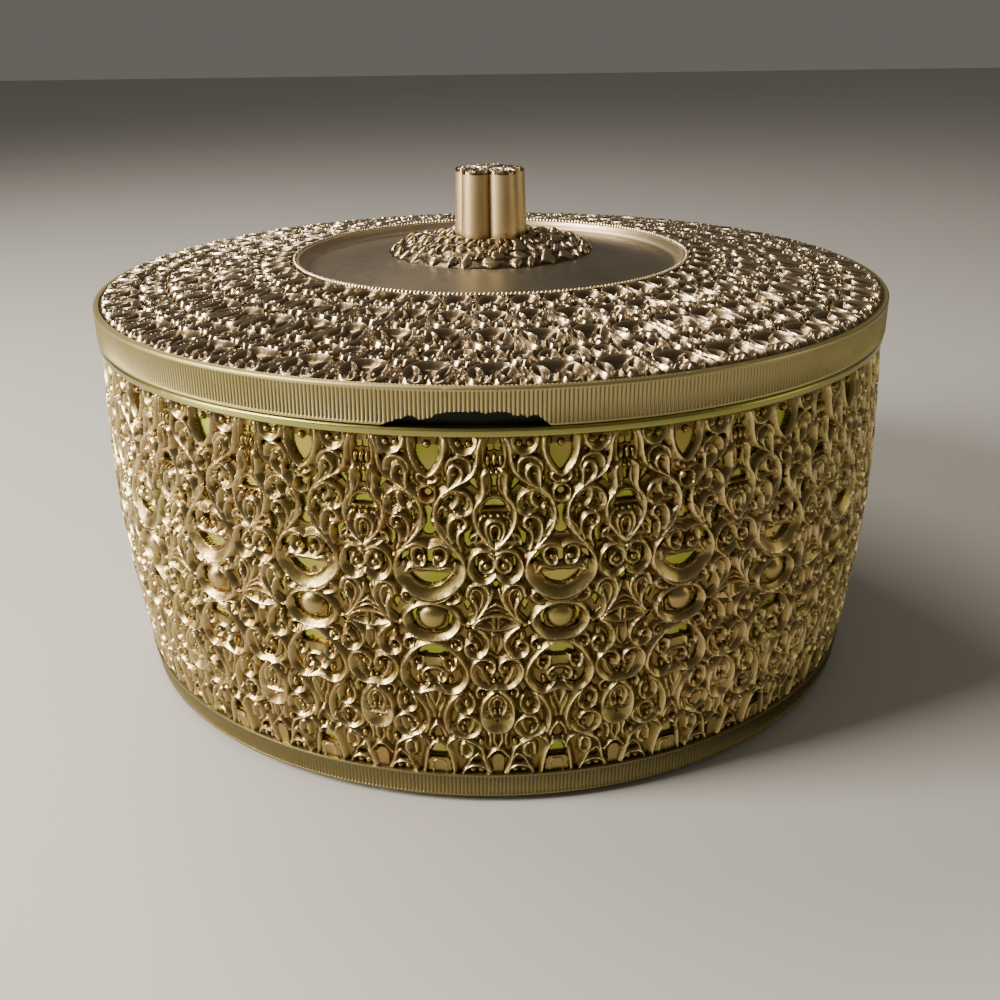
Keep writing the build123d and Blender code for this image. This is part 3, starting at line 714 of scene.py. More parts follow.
    ([(4.6, 85.4), (3.4, 86.3), (2.6, 87.6), (2.2, 89.2)], .8, .6, 2.1),
    ([(0, 86.9), (1.4, 87.5), (2.4, 89.0), (3.3, 91.4), (3.8, 94.2), (4.2, 97.3)], .8, .9, 2.2),
    ([(1.9, 97.5), (1.7, 94.5), (1.2, 93.4), (0, 93.2)], .4, .4, 1.9),
    ([(6.2, 91.0), (6.3, 88.0), (7.4, 86.9), (8.8, 87.9), (9.3, 89.7), (8.8, 91.2),
      (7.6, 92.0)], .9, .6, 2.0),
    ([(6.5, 97.4), (7.3, 95.9), (9.2, 94.8), (11.3, 94.8), (13.0, 95.9), (13.7, 97.4)], 1.2, .6, 2.1),
    ([(6.9, 97.0), (8.0, 94.4), (9.0, 92.3), (10.9, 90.8), (12.2, 92.4), (13.0, 94.8)], 1.6, .5, 1.9),
    ([(14.2, 97.4), (12.9, 94.6), (12.3, 91.4), (11.6, 89.0), (10.4, 87.6), (8.6, 86.4), (6.6, 85.5)],
     .7, .7, 2.0),
    ([(13.8, 83.7), (14.2, 85.6), (14.0, 87.8)], .6, .6, 2.0),
    ([(15.2, 84.2), (15.1, 86.4), (15.9, 88.0), (16.23, 89.2)], .6, .6, 1.8),
    ([(13.2, 92.0), (14.2, 90.6), (15.4, 89.4), (16.23, 89.3)], .7, .5, 2.0),
]

# Beads and bosses: place, half width, half height, base and rise.
DRUM_BEADS = [
    (0, 2.4, .9, .9, .8, .9), (7.6, 2.2, .85, .85, .8, .8), (10.2, 2.2, .85, .85, .8, .8),
    (6.5, 9.6, .7, .7, .6, .8), (14.7, 6.3, .55, 1.5, .6, 1.3), (16.23, 6.1, .6, 1.6, .6, 1.4),
    (15.6, 9.1, .55, .55, 1.0, .9), (13.9, 20.2, .5, .5, 1, .8), (15.35, 20.2, .55, .55, 1, .8),
    (6.7, 19.2, .5, .5, 1, .8), (4.4, 18.6, .5, .5, 1, .8), (7.7, 22.4, .6, .6, .8, 1.0),
    (2.3, 31.5, .95, .95, .7, 1.3), (14.0, 33.6, .95, .95, .7, 1.4), (10.5, 41.6, .6, .6, .9, .9),
    (6.2, 42.0, .5, .5, .9, .8), (0, 48.1, 3.7, 3.7, 0, 2.7), (9.7, 53.4, .9, 1.6, .5, 1.6),
    (10.0, 57.0, .6, .6, .9, .9), (5.9, 55.9, .55, .55, .9, .9), (4.3, 61.6, .6, .6, .9, .9),
    (1.9, 65.2, .7, .7, .8, 1.0), (4.2, 66.8, .6, 1.4, .6, 1.3), (14.0, 62.7, .85, .85, .8, 1.3),
    (14.9, 65.2, .5, .5, .8, .8), (15.5, 66.6, .5, .5, .8, .8), (12.4, 70.9, .6, .6, .8, 1.0),
    (14.4, 77.2, .6, 1.0, .7, 1.1), (15.6, 76.8, .5, 1.2, .7, 1.1), (8.2, 74.2, .8, 1.5, .6, 1.4),
    (7.5, 80.3, .6, .6, .9, 1.0), (7.0, 82.3, .6, .9, .7, 1.0), (1.4, 86.0, .6, .8, .8, 1.1),
    (6.4, 89.2, .5, 1.4, .7, 1.3), (9.2, 96.6, .8, .8, .8, .8), (11.5, 96.6, .8, .8, .8, .8),
    (11.7, 86.7, .8, 1.2, .8, 1.2), (16.23, 89.0, .6, .5, .9, .8),
]

# Flat windows: outline and level.
DRUM_WINDOWS = [
    ([(0, 3.6), (0.5, 3.3), (0.9, 2.6), (2.7, 2.6), (2.8, 4.6), (2.3, 6.4), (1.3, 8.0), (0.4, 9.1),
      (0, 9.4)], 0),
    ([(3.9, 10.6), (4.6, 10.6), (4.5, 11.8), (4.0, 12.0)], 0),
    ([(6.0, 4.0), (6.9, 4.9), (6.0, 5.3)], 0), ([(10.6, 5.3), (11.7, 5.2), (11.4, 6.6)], 0),
    ([(9.7, 11.6), (11.4, 10.6), (11.8, 12.2), (12.3, 14.0), (11.2, 13.0)], 0),
    ([(14.6, 2.6), (16.23, 2.5), (16.23, 3.9), (14.7, 4.2)], 0),
    ([(15.6, 10.4), (16.24, 10.2), (16.24, 13.0), (15.7, 12.9)], 0),
    ([(13.6, 18.1), (14.1, 16.9), (15.0, 16.2), (16.24, 15.9), (16.24, 18.1)], 0),
    ([(0, 13.7), (.6, 13.9), (.9, 14.6), (.6, 15.3), (0, 15.5)], 0),
    ([(0, 18.0), (1.1, 18.1), (0.95, 19.5), (.45, 20.9), (.5, 22.2), (1.2, 23.8), (1.6, 24.8), (.8, 25.5),
      (0, 25.6)], 0),
    ([(5.1, 15.9), (5.6, 15.3), (6.1, 15.9), (5.6, 16.5)], 0),
    ([(3.7, 20.0), (4.3, 20.2), (4.2, 21.4), (3.8, 21.3)], 0),
    ([(8.7, 25.2), (9.4, 24.6), (10.9, 23.9), (10.0, 25.4), (9.8, 26.6), (9.9, 27.8), (9.5, 29.0),
      (8.6, 27.2)], 0),
    ([(0, 29.4), (1.6, 28.6), (1.2, 29.8), (0.6, 31.0), (0.7, 33.0), (0, 33.2)], 0),
    ([(5.2, 30.0), (6.4, 30.2), (7.2, 31.6), (7.5, 33.2), (6.5, 32.4), (5.4, 31.4)], 0),
    ([(0, 35.7), (4.7, 36.0), (4.1, 37.3), (2.4, 38.4), (0, 38.9)], 0),
    ([(11.6, 31.2), (12.0, 31.0), (11.7, 33.0), (12.0, 34.4), (11.3, 34.0), (11.1, 32.6)], 0),
    ([(16.24, 38.0), (15.4, 38.4), (15.7, 39.6), (16.24, 40.0)], 0),
    ([(8.1, 44.1), (9.1, 42.9), (9.8, 44.6), (9.0, 46.3)], 0),
    ([(2.9, 45.3), (4.4, 45.9), (5.3, 47.9), (4.8, 50.0), (3.9, 51.0), (4.3, 48.2), (3.8, 46.4)], 0),
    ([(8.2, 50.8), (9.0, 49.8), (9.8, 50.8), (9.0, 51.9)], 0),
    ([(0, 55.9), (2.1, 56.3), (3.5, 57.6), (4.2, 59.4), (0, 59.6)], 0),
    ([(0, 88.0), (1.2, 88.6), (2.0, 90.0), (2.4, 91.6), (0, 91.8)], 0),
    ([(8.6, 93.6), (9.6, 92.4), (10.8, 92.2), (11.6, 93.8), (10.2, 94.2)], .3),
]

DRUM_LEDGES = [([(0, 59.9), (2.4, 59.9), (2.6, 62.6), (0, 62.6)], 1.1),
               ([(14.4, 92.4), (15.2, 91.2), (16.24, 90.8), (16.24, 97.7), (14.9, 97.7)], 1.3),
               ([(0, 92.4), (2.4, 92.6), (3.0, 93.6), (3.3, 97.6), (0, 97.6)], 1.4)]

# Lid scrolls: across as a share of half a repeat, from the line of the bowls (0) to the line between
# them (1), and out along the radius. A wide inner reach hollows a bowl.
LID_SCROLLS = [
    ([(0, 65.4), (.50, 66.0), (.80, 68.4), (.76, 71.6), (.46, 73.9), (.18, 73.6), (.16, 72.2), (.36, 71.8)],
     1.8, .5, 1.6),
    ([(1, 64.4), (.90, 66.2), (1, 67.6)], .5, .5, 1.2),
    ([(1, 74.8), (.80, 75.6), (.72, 77.6)], .6, .6, 1.5),
    ([(0, 74.6), (.20, 75.2), (.34, 76.4)], .4, .4, 1.3),
    ([(0, 77.4), (.50, 78.0), (.82, 80.6), (.80, 84.2), (.54, 87.0), (.22, 87.4), (.12, 86.0), (.26, 85.0),
      (.38, 85.6)], 2.1, .5, 1.8),
    ([(.66, 79.6), (.40, 80.8), (.30, 82.8), (.46, 84.2)], .9, .6, 1.5),
    ([(1, 77.8), (.92, 80.4), (.94, 83.4), (1, 85.6)], .6, .5, 1.4),
    ([(1, 86.4), (.78, 87.8), (.68, 90.0), (.84, 91.8), (.96, 90.8)], .5, 1.0, 1.6),
    ([(0, 90.4), (.46, 91.2), (.78, 93.8), (.80, 97.6), (.56, 101.2), (.24, 102.2), (.10, 100.8),
      (.22, 99.6),
      (.36, 100.2)], 2.3, .5, 1.8),
    ([(.66, 92.8), (.40, 94.2), (.28, 96.8), (.42, 98.8)], .9, .6, 1.5),
    ([(1, 93.2), (.92, 96.0), (.92, 99.6), (1, 102.4)], .7, .5, 1.5),
    ([(1, 103.8), (.72, 104.8), (.58, 107.6), (.68, 110.4), (.88, 111.4), (.96, 109.9), (.84, 109.2)],
     .5, 1.5, 1.7),
    ([(1, 105.8), (.88, 106.4), (.84, 107.6)], .5, .5, 1.2),
    ([(0, 103.8), (.26, 104.8), (.38, 107.2), (.26, 109.4), (.06, 109.6), (.08, 108.2)], 1.1, .5, 1.6),
    ([(0, 111.6), (.44, 112.4), (.76, 115.4), (.78, 119.2), (.54, 122.4), (.22, 122.9), (.10, 121.3),
      (.22, 120.2),
      (.34, 120.8)], 2.4, .5, 1.8),
    ([(.64, 114.0), (.38, 115.4), (.26, 118.0), (.38, 119.8)], .9, .6, 1.5),
    ([(1, 113.4), (.92, 116.0), (.90, 119.6), (1, 122.6)], .7, .5, 1.6),
]

# Lid balls and seeds: place, half width, half length, base and rise.
LID_BEADS = [
    (0, 69.8, .8, .9, .3, .9), (1, 71.0, .9, 1.4, .4, .8), (.56, 75.9, .7, .6, .4, .6),
    (1, 75.8, .7, .6, .5, .6), (.62, 88.9, .8, .7, .5, .7), (1, 81.6, .7, 1.3, .4, .8),
    (0, 84.4, .7, .9, .3, 1.0), (0, 88.9, .8, .8, .5, .7), (1, 88.8, .9, .8, .4, .7),
    (0, 98.4, .8, 1.1, .3, 1.1), (1, 97.8, .8, 1.7, .4, .9), (.56, 103.2, .9, .7, .5, .7),
    (1, 108.2, .9, .9, .4, .8), (0, 106.6, .9, 1.0, .3, .9), (.44, 111.2, .8, .6, .5, .7),
    (0, 119.0, .9, 1.2, .3, 1.1), (1, 117.8, .9, 1.8, .4, .9),
]

# Leaves and balls of the rosette, drawn in the same way.
ROSETTE_SCROLLS = [
    ([(0, 27.6), (.5, 26.8), (.62, 24.6)], .4, .4, .6),
    ([(1, 21.8), (.6, 20.2), (.5, 18.4)], .4, .4, .6),
]
ROSETTE_BEADS = [
    (0, 31.0, 1.9, 2.0, 0, 1.7), (1, 26.4, 1.7, 1.9, 0, 1.5), (0, 21.6, 1.5, 1.9, 0, 1.5),
    (1, 16.8, 1.2, 1.7, 0, 1.3), (0, 13.2, .9, 1.4, 0, 1.1),
]


def ring_height(across, radius, half_turn, scrolls, beads, ground=0.18, blunt=0.5, droop=0.0):
    """Relief of a round face: its drawing is read in true millimetres at each radius."""
    scale = math.radians(half_turn)
    flat_scrolls = []
    for points, right, left, top in scrolls:
        flat_scrolls.append(([(share * r * scale, r) for share, r in points], right, left, top))
    flat_beads = [(share * r * scale, r, *shape) for share, r, *shape in beads]
    return carve(across * radius * scale, radius, flat_scrolls, flat_beads, ground=ground,
                 second_rim=0.0, blunt=blunt, droop=droop)


def drum_height(x, v):
    return carve(x, DRUM_TALL - v, DRUM_SCROLLS, DRUM_BEADS, DRUM_WINDOWS, DRUM_LEDGES)


def lid_height(across, radius):
    return ring_height(across, radius, 180 / LID_REPEATS, LID_SCROLLS, LID_BEADS)


# Relief as a closed block

# Points nearer than this, in metres, become one where repeats meet.
JOIN = 0.001 * MM


def carve_half(name, half_wide, tall, columns, rows, height_of, keep):
    """Half a repeat, carved on a fine grid and thinned where it is flat."""
    piece, column, row = blank(name, columns, rows)
    x, v = column / columns * half_wide, row / rows * tall
    set_spots(piece, x, v, height_of(x, v)[0])
    pick(piece)
    apply_to(piece, "DECIMATE", ratio=keep)
    return piece


def straighten(piece, half_wide, tall, snap, height_of):
    """Puts the border back where thinning moved it, and keeps what the finish reads."""
    x, v, height = spots_of(piece).T
    x = np.where(x < snap, 0, np.where(x > half_wide - snap, half_wide, x))
    v = np.where(v < snap, 0, np.where(v > tall - snap, tall, v))
    set_spots(piece, x, v, height)
    mark(piece, "lift", height / CREST_HEIGHT)
    # The crest mark sets the crest lines' wear and painted highlight.
    mark(piece, "crest", height_of(x, v)[1] * (height > 0.1))


def add_back(depth):
    """Draws the border of the open piece down to a flat back."""
    open_mesh("DESELECT")
    bpy.ops.mesh.select_mode(type="VERT")
    bpy.ops.mesh.select_non_manifold()
    bpy.ops.mesh.select_mode(type="EDGE")
    bpy.ops.mesh.extrude_edges_move(TRANSFORM_OT_translate={"value": (0, 0, -depth * MM)})
    bpy.ops.transform.resize(value=(1, 1, 0), center_override=(0, 0, -depth * MM))
    bpy.ops.mesh.edge_face_add()
    leave_mesh()


def open_sides(piece, half_wide, snap):
    """Takes out the walls of the two sides where the next half joins on, but not the back."""
    spots = spots_of(piece)
    sides = (spots[:, 0] < snap, spots[:, 0] > half_wide - snap)
    open_mesh("DESELECT")
    bpy.ops.mesh.select_mode(type="FACE")
    leave_mesh()
    for face in piece.data.polygons:
        is_back = len(face.vertices) > 8
        if not is_back:
            face.select = any(all(side[i] for i in face.vertices) for side in sides)
    open_mesh()
    bpy.ops.mesh.delete(type="FACE")
    leave_mesh()


def lay_out(piece, half_wide, repeats):
    """Mirrors the half, sets the repeats in a row and fills the two ends."""
    apply_to(piece, "MIRROR", merge_threshold=JOIN)
    apply_to(piece, "ARRAY", count=repeats, use_relative_offset=False, use_constant_offset=True,
             constant_offset_displace=(2 * half_wide * MM, 0, 0), use_merge_vertices=True,
             merge_threshold=JOIN)
    open_mesh("SELECT")
    bpy.ops.mesh.fill_holes(sides=0)
    bpy.ops.mesh.select_all(action="SELECT")
    bpy.ops.mesh.normals_make_consistent(inside=False)
    leave_mesh()


def relief_block(name, half_wide, tall, columns, rows, height_of, keep, repeats, depth):
    """A closed flat block of relief, with its repeats side by side."""
    snap = half_wide / columns * 0.45
    piece = carve_half(name, half_wide, tall, columns, rows, height_of, keep)
    straighten(piece, half_wide, tall, snap, height_of)
    add_back(depth)
    open_sides(piece, half_wide, snap)
    lay_out(piece, half_wide, repeats)
    return piece


# Drum

def build_drum():
    """The drum's wall of scrollwork, bent round the barrel."""
    sector = relief_block("drum_scrolls_1", DRUM_HALF, DRUM_TALL, 82, 488, drum_height, keep=0.236,
                          repeats=DRUM_REPEATS // SECTORS, depth=DRUM_WALL - CREST_HEIGHT)
    x, v, height = spots_of(sector).T
    half_turn = 180 / DRUM_REPEATS
    turn = np.radians(x / DRUM_HALF * half_turn - 90 + half_turn)
    z = BASE_TOP + v
    set_round(sector, barrel_radius(z) - CREST_HEIGHT + height, turn, z)
    finish_sectors(sector, "drum_scrolls", "box", "filigree_drum", GILT_RELIEF)


# Lid

def build_crown():
    """The lid's sloping ring of relief, between the dish and the skirt."""
    inner, outer = 63.4, 123.7
    wide = outer - inner
    sunk, highest = 0.9, 1.05
    fade = 1.8

    def crown_height(x, v):
        height, crest = lid_height(x / LID_HALF, inner + v)
        return height * np.clip((wide - v) / fade, 0.3, 1), crest

    sector = relief_block("lid_scrolls_1", LID_HALF, wide, 36, 320, crown_height, keep=0.26,
                          repeats=LID_REPEATS // SECTORS, depth=1.4)
    x, v, height = spots_of(sector).T
    mark(sector, "lift", 0.10 + marked(sector, "lift") * CREST_HEIGHT / LID_CREST)
    half_turn = 180 / LID_REPEATS
    turn = np.radians(x / LID_HALF * half_turn - 90)
    # Slow sways in radius, direction and height keep the rows from looking ruled.
    sway = np.sin(v / wide * math.pi)
    radius = inner + v + 0.5 * sway * np.sin(12 * turn + v / 6)
    turn = turn + 0.006 * sway * np.sin(18 * turn + v / 4)
    height = height * (1 + 0.15 * sway * np.sin(30 * turn - v / 3))
    slope = lid_cone(radius)
    set_round(sector, radius, turn, np.minimum(slope + height - sunk, slope + highest))
    close_up(sector)
    finish_sectors(sector, "lid_scrolls", "lid", "lid_shell", GILT_CROWN)


# The break in the skirt's lower edge: degrees to the right of the front, and height.
CHIP = [(-12.6, 0), (-10.6, 1.5), (-9.4, 2.6), (-7.8, 2.0), (-6.2, 3.0), (-4.2, 3.9), (-1.3, 3.7),
        (1.7, 3.6), (2.5, 2.8), (4.6, 2.6), (5.2, 1.9), (6.3, 0)]


def random_sway(steps):
    """Ragged edge of the break, the same on every run."""
    chance = np.random.default_rng(7)
    rough = chance.uniform(-0.35, 0.35, steps // 5 + 2)
    fine = chance.uniform(-0.12, 0.12, steps)
    return np.interp(np.arange(steps), np.arange(len(rough)) * 5, rough) + fine


def break_edge(turn, z, sway):
    """Lifts a band's lower edge along the break, and says which points are on the broken face."""
    angle = np.degrees(turn) + 90
    angle = np.where(angle > 180, angle - 360, angle)
    lift = np.interp(angle, [place for place, high in CHIP], [high for place, high in CHIP], 0, 0)
    lift = np.where(lift > 0, np.maximum(lift + sway * np.minimum(lift, 1), 0), 0)
    core = ((lift > 0) & (z < LID_BOTTOM + 0.05)).astype(float)
    return np.maximum(z, LID_BOTTOM + lift + (z - LID_BOTTOM) * 0.02), core


def ribbed_band(name, ribs, outline, ribbed, broken=False, per_rib=4):
    """A closed ring whose flagged outline points follow fine upright ribs."""
    steps = ribs * per_rib
    count = len(outline)
    piece, column, row = blank(name, steps, count)
    row = row % count
    turn = column / steps * 2 * math.pi - math.pi / 2
    radius = np.array([point[0] for point in outline])[row]
    z = np.array([point[1] for point in outline])[row]
    flagged = np.array([place in ribbed for place in range(count)], float)[row]
    wave = 0.5 - 0.5 * np.cos(column / per_rib * 2 * math.pi)
    radius = radius - flagged * RIB_DEPTH * (1 - wave ** 0.7)
    core = np.zeros(len(row))
    if broken:
        z, core = break_edge(turn, z, random_sway(steps)[column % steps])
    set_round(piece, radius, turn, z)
    # The lift mark sets the painted shade in the rib valleys.
    mark(piece, "lift", 1 - flagged * (1 - wave))
    mark(piece, "core", core)
    return close_up(piece, 0.0002)


def build_skirt():
    """The lid's ribbed skirt, with its rolled upper edge and the break at the front."""
    r, low, top = LID_RADIUS, LID_BOTTOM, LID_TOP
    outline = [
        (r - 2.4, low), (r - 0.3, low), (r - 0.05, low + 0.2), (r - 0.05, low + 0.65), (r, low + 0.8),
        (r, top - 1.15), (r, top - 1.0), (r, top - 0.3), (r - 0.25, top - 0.02), (r - 0.7, top + 0.05),
        (r - 0.95, top - 0.1), (r - 1.4, top + 0.1), (r - 1.6, top - 0.6), (r - 2.4, top - 1.5),
    ]
    skirt = ribbed_band("lid_skirt", SKIRT_RIBS, outline, ribbed=(4, 5, 10, 11), broken=True)
    finish(skirt, "lid", ["lid_shell"], GILT_SKIRT, 50)


def bead_ring(name, radius, z, beads, size, steps_each=6, section=8):
    """A string of small beads as one closed ring."""
    steps = beads * steps_each
    piece, column, row = blank(name, steps, section)
    along = (column % steps_each) / steps_each * 2 - 1
    swell = size * np.sqrt(np.clip(1 - along ** 2, 0.03, 1))
    angle = row / section * 2 * math.pi
    set_round(piece, radius + swell * np.cos(angle), column / steps * 2 * math.pi, z + swell * np.sin(angle))
    # The beads take most of the crest tone: wear and a painted highlight.
    mark(piece, "lift", 0.8)
    mark(piece, "crest", 1.0)
    return close_up(piece, 0.0002)


# Underside of the dish, which rests on the lid's inner liner: radius and height.
DISH_UNDERSIDE = [
    (SCREW_BORE, DISH_TOP - DISH_WALL), (KNOB_SEAT, DISH_TOP - DISH_WALL),
    (ROSETTE_RADIUS, ROSETTE_LOW - DISH_WALL), (DISH_FOOT, DISH_LOW),
]


def build_dish():
    """The satin dish in the lid, with the string of beads round its rim."""
    rim, outer = LID_TOP + LID_RISE - 0.2, radius_of("lid_dish")
    dish = turned("lid_dish_gilt", [
        (DISH_RIM, rim, 0.2), (DISH_RIM - 0.9, rim, 0.2), (60.9, DISH_LOW + 2.0, 1.7),
        (57.3, DISH_LOW + DISH_WALL, 1.5), (ROSETTE_RADIUS, ROSETTE_LOW, 0.5), (KNOB_SEAT, DISH_TOP, 0),
        (SCREW_BORE, DISH_TOP, 0), *[(r, z, 0) for r, z in DISH_UNDERSIDE], (outer, DISH_LOW, 0.2),
        (outer, DISH_LOW + 1.4, 0), (DISH_RIM, DISH_LOW + 1.9, 0),
    ], 384)
    x, y, z = spots_of(dish).T
    # The lift mark sets the painted highlight on the dish's inner wall.
    wall_start, wall_wide = 59.3, 1.2
    mark(dish, "lift", np.clip((np.hypot(x, y) - wall_start) / wall_wide, 0, 1))
    finish(dish, "lid", ["lid_dish"], SATIN_DISH_PAINTED_DARK)
    beads = bead_ring("dish_beads", DISH_RIM + 0.4, LID_TOP + LID_RISE, DISH_BEADS, 0.56)
    finish(beads, "lid", ["lid_dish"], GILT_CROWN)


def build_rosette():
    """Low round of leaves under the knob, with a ragged edge."""
    inner, outer = 8.0, 33.4
    wide = outer - inner
    half_turn = 180 / ROSETTE_REPEATS
    dome_radii = [8, 12, 14, 24, 31.5, 33.3]
    dome_rises = [5.2, 5.0, 4.5, 3.0, 1.3, 0.3]

    def rosette_height(x, v):
        return ring_height(x / ROSETTE_HALF, inner + v, half_turn, ROSETTE_SCROLLS, ROSETTE_BEADS,
                           ground=0.02, blunt=0.35, droop=0.3)

    sector = relief_block("knob_rosette_scrolls", ROSETTE_HALF, wide, 16, 128, rosette_height, keep=0.32,
                          repeats=ROSETTE_REPEATS, depth=0.25)
    x, v, height = spots_of(sector).T
    mark(sector, "lift", 0.1 + marked(sector, "lift") * CREST_HEIGHT / ROSETTE_CREST)
    turn = np.radians(x / ROSETTE_HALF * half_turn - 90)
    sway = np.sin(v / wide * math.pi)
    radius = inner + v + 0.9 * sway * np.sin(8 * turn + v / 2)
    turn = turn + 0.045 * np.sin(9 * turn + v / 3)
    scallop = 0.5 - 0.5 * np.cos(x / ROSETTE_HALF * math.pi)
    radius = radius - 0.8 * scallop * np.clip((radius - 31) / 2.4, 0, 1)
    dome = ROSETTE_LOW + np.interp(radius, dome_radii, dome_rises)
    height = height * (0.8 + 0.3 * np.sin(7 * turn + radius / 2))
    set_round(sector, radius, turn, dome + height - 0.3)
    close_up(sector)
    finish(sector, "lid", ["knob_rosette"], GILT_ROSETTE)


def lobe_radius(turn, scale):
    """Radius of the five-lobed knob in a direction."""
    spread = 2 * math.pi / LOBES
    off = (turn + math.pi / 2 + math.radians(KNOB_TURN)) % spread - spread / 2
    centre, lobe = LOBE_CIRCLE * scale, LOBE_RADIUS * scale
    return centre * np.cos(off) + np.sqrt(lobe ** 2 - (centre * np.sin(off)) ** 2)


def lobed(name, rows, steps=480):
    """A closed upright shape on the knob's lobed plan. Each row has its share of the radius, its inset, its
    height and its scale."""
    piece, column, row = blank(name, steps, len(rows) - 1)
    turn = column / steps * 2 * math.pi - math.pi / 2
    share, inset, z, scale = (np.array([r[i] for r in rows])[row] for i in range(4))
    radius = np.maximum(lobe_radius(turn, scale) - inset, 0) * share
    set_round(piece, radius, turn, z)
    return piece, turn, radius, row


def build_column():
    """The knob's satin lobes, a little narrower at the top."""
    low, tall, narrow = COLUMN_LOW, 19.2, 1 - KNOB_TAPER
    rows = [(0, 0, low, 1), (.5, 0, low, 1), (1, .1, low, 1), (1, 0, low + .2, 1)]
    rows += [(1, 0, low + .2 + tall * t, 1 - KNOB_TAPER * t) for t in np.linspace(.1, 1, 10)]
    rows += [(1, 0, CAP_LOW - .05, narrow), (1, .05, CAP_LOW, narrow), (.5, 0, CAP_LOW, narrow),
             (0, 0, CAP_LOW, narrow)]
    column = lobed("knob_column_satin", rows)[0]
    close_up(column)
    finish(column, "lid", ["knob_column"], SATIN_KNOB, 30)


def build_cap():
    """The knob's cap, with scrolls of the lid's kind on its top."""
    narrow, top_edge = 1 - KNOB_TAPER, CAP_LOW + .45
    drawn_from, drawn_wide, cap_radius = 80, 25.6, 11.4
    highest = 0.95
    rows = [(0, 0, CAP_LOW, narrow), (.6, 0, CAP_LOW, narrow), (1, .05, CAP_LOW, narrow),
            (1, 0, CAP_LOW + .05, narrow), (1, .12, top_edge, narrow)]
    rows += [(share, .12, top_edge, narrow) for share in np.linspace(1, 0, 30)[1:]]
    cap, turn, radius, row = lobed("knob_cap_scrolls", rows, 400)
    x, y, z = spots_of(cap).T
    on_top = row >= 4
    across = np.abs((turn * 2 * LOBES / (2 * math.pi)) % 1 * 2 - 1)
    carved, crest = lid_height(across, drawn_from + np.clip(radius / cap_radius, 0, 1) * drawn_wide)
    carved = np.where(on_top, 0.5 * carved * np.clip(radius / 1.5, 0, 1), 0)
    set_spots(cap, x, y, np.minimum(z + carved, KNOB_TOP + 0.1))
    mark(cap, "lift", np.where(on_top, 0.12 + carved / highest, 0.7))
    mark(cap, "crest", np.where(on_top, crest, 0))
    close_up(cap)
    finish(cap, "lid", ["knob_cap"], GILT_CROWN)


def build_lid_liner():
    """The black inner lid, which follows the dish's underside."""
    radius, low = radius_of("lid_liner"), low_of("lid_liner")
    well, shoulder = radius_of("lid_dish") + 0.2, 1.7
    outline = [(radius, low, 0.3), (radius, low + shoulder, 0.3), (well, DISH_LOW + shoulder, 0),
               (well, DISH_LOW, 0)]
    outline += [(r, z, 0) for r, z in reversed(DISH_UNDERSIDE)]
    roundings = (0, 0.4, 0.6, 0.8)
    outline += [(r, z - LID_LINER_WALL, rounding) for (r, z), rounding in zip(DISH_UNDERSIDE, roundings)]
    outline += [(well, DISH_LOW - LID_LINER_WALL, 0.8), (radius - 3.9, low, 0.6)]
    liner = turned("lid_liner_black", outline)
    finish(liner, "lid", ["lid_liner"], MOULDED_BLACK)


def build_washer():
    radius, low, top = radius_of("knob_washer"), low_of("knob_washer"), top_of("knob_washer")
    washer = turned("knob_washer_zinc", [
        (SCREW_BORE, low, .15), (radius, low, .25), (radius, top, .25), (SCREW_BORE, top, .15)], 96)
    finish(washer, "lid", ["knob_washer"], ZINC_STEEL)


# Box

def build_rim():
    """The plain gilt band on top of the drum."""
    inner, radius, top = radius_of("liner_bucket") + 0.2, radius_of("rim_ring"), top_of("rim_ring")
    rim = turned("rim_ring_gilt", [
        (inner, DRUM_TOP, 0), (radius - 0.15, DRUM_TOP, .2), (radius, DRUM_TOP + 0.3, .1),
        (radius, top - 0.5, .3), (radius - 0.5, top, .25), (inner, top, .2)], 480)
    finish(rim, "box", ["rim_ring"], GILT_BAND)


def build_base():
    """The ribbed gilt band at the bottom, with a ledge inside for the base plate."""
    low, ledge, ledge_inner = BASE_LOW, low_of("base_plate"), 108.0
    inner = radius_of("base_plate") + 0.2
    face = [(float(barrel_radius(low + up)), low + up) for up in (0.3, 0.9, 1.0, 4.0, 7.0, 7.1, 7.8)]
    outline = [(ledge_inner, low), (barrel_radius(low) - 0.5, low), *face,
               (barrel_radius(BASE_TOP) - 0.3, BASE_TOP), (inner, BASE_TOP), (inner, ledge),
               (ledge_inner, ledge)]
    base = ribbed_band("base_ring_ribs", BASE_RIBS, outline, ribbed=(4, 5, 6))
    finish(base, "box", ["base_ring"], GILT_BASE_PAINTED_DARK, 50)


def build_bucket():
    """The black inner bucket, with a shelf for the tray and a neck for the lid."""
    low, top, wall = low_of("liner_bucket"), top_of("liner_bucket"), LINER_WALL
    body, neck, shelf = radius_of("base_plate"), radius_of("liner_bucket"), top_of("tray_pan") - TRAY_WALL
    bucket = turned("liner_bucket_black", [
        (0, low, 0), (body, low, .3), (body, DRUM_TOP, 0), (neck, DRUM_TOP, .2), (neck, top, .5),
        (neck - wall, top, .5), (neck - wall, shelf, .4), (body - wall, shelf, .5),
        (body - wall, low + wall, 2.5), (0, low + wall, 0)])
    finish(bucket, "box", ["liner_bucket"], MOULDED_BLACK)


def build_feet():
    """Small pale pads, each with a stud up into the base."""
    pad, stud, top = 4.5, 2.0, top_of("foot_1")
    for number in range(1, 5):
        foot = turned(f"foot_{number}_pad", [
            (0, 0, 0), (pad, 0, .6), (pad, BASE_LOW, .2), (stud, BASE_LOW, 0), (stud, top, 0),
            (0, top, 0)], 64)
        stand_at(foot, *plan_point(FOOT_CIRCLE, FIRST_FOOT + 90 * (number - 1)))
        finish(foot, "box", [f"foot_{number}"], PALE_FOOT)


# Tray

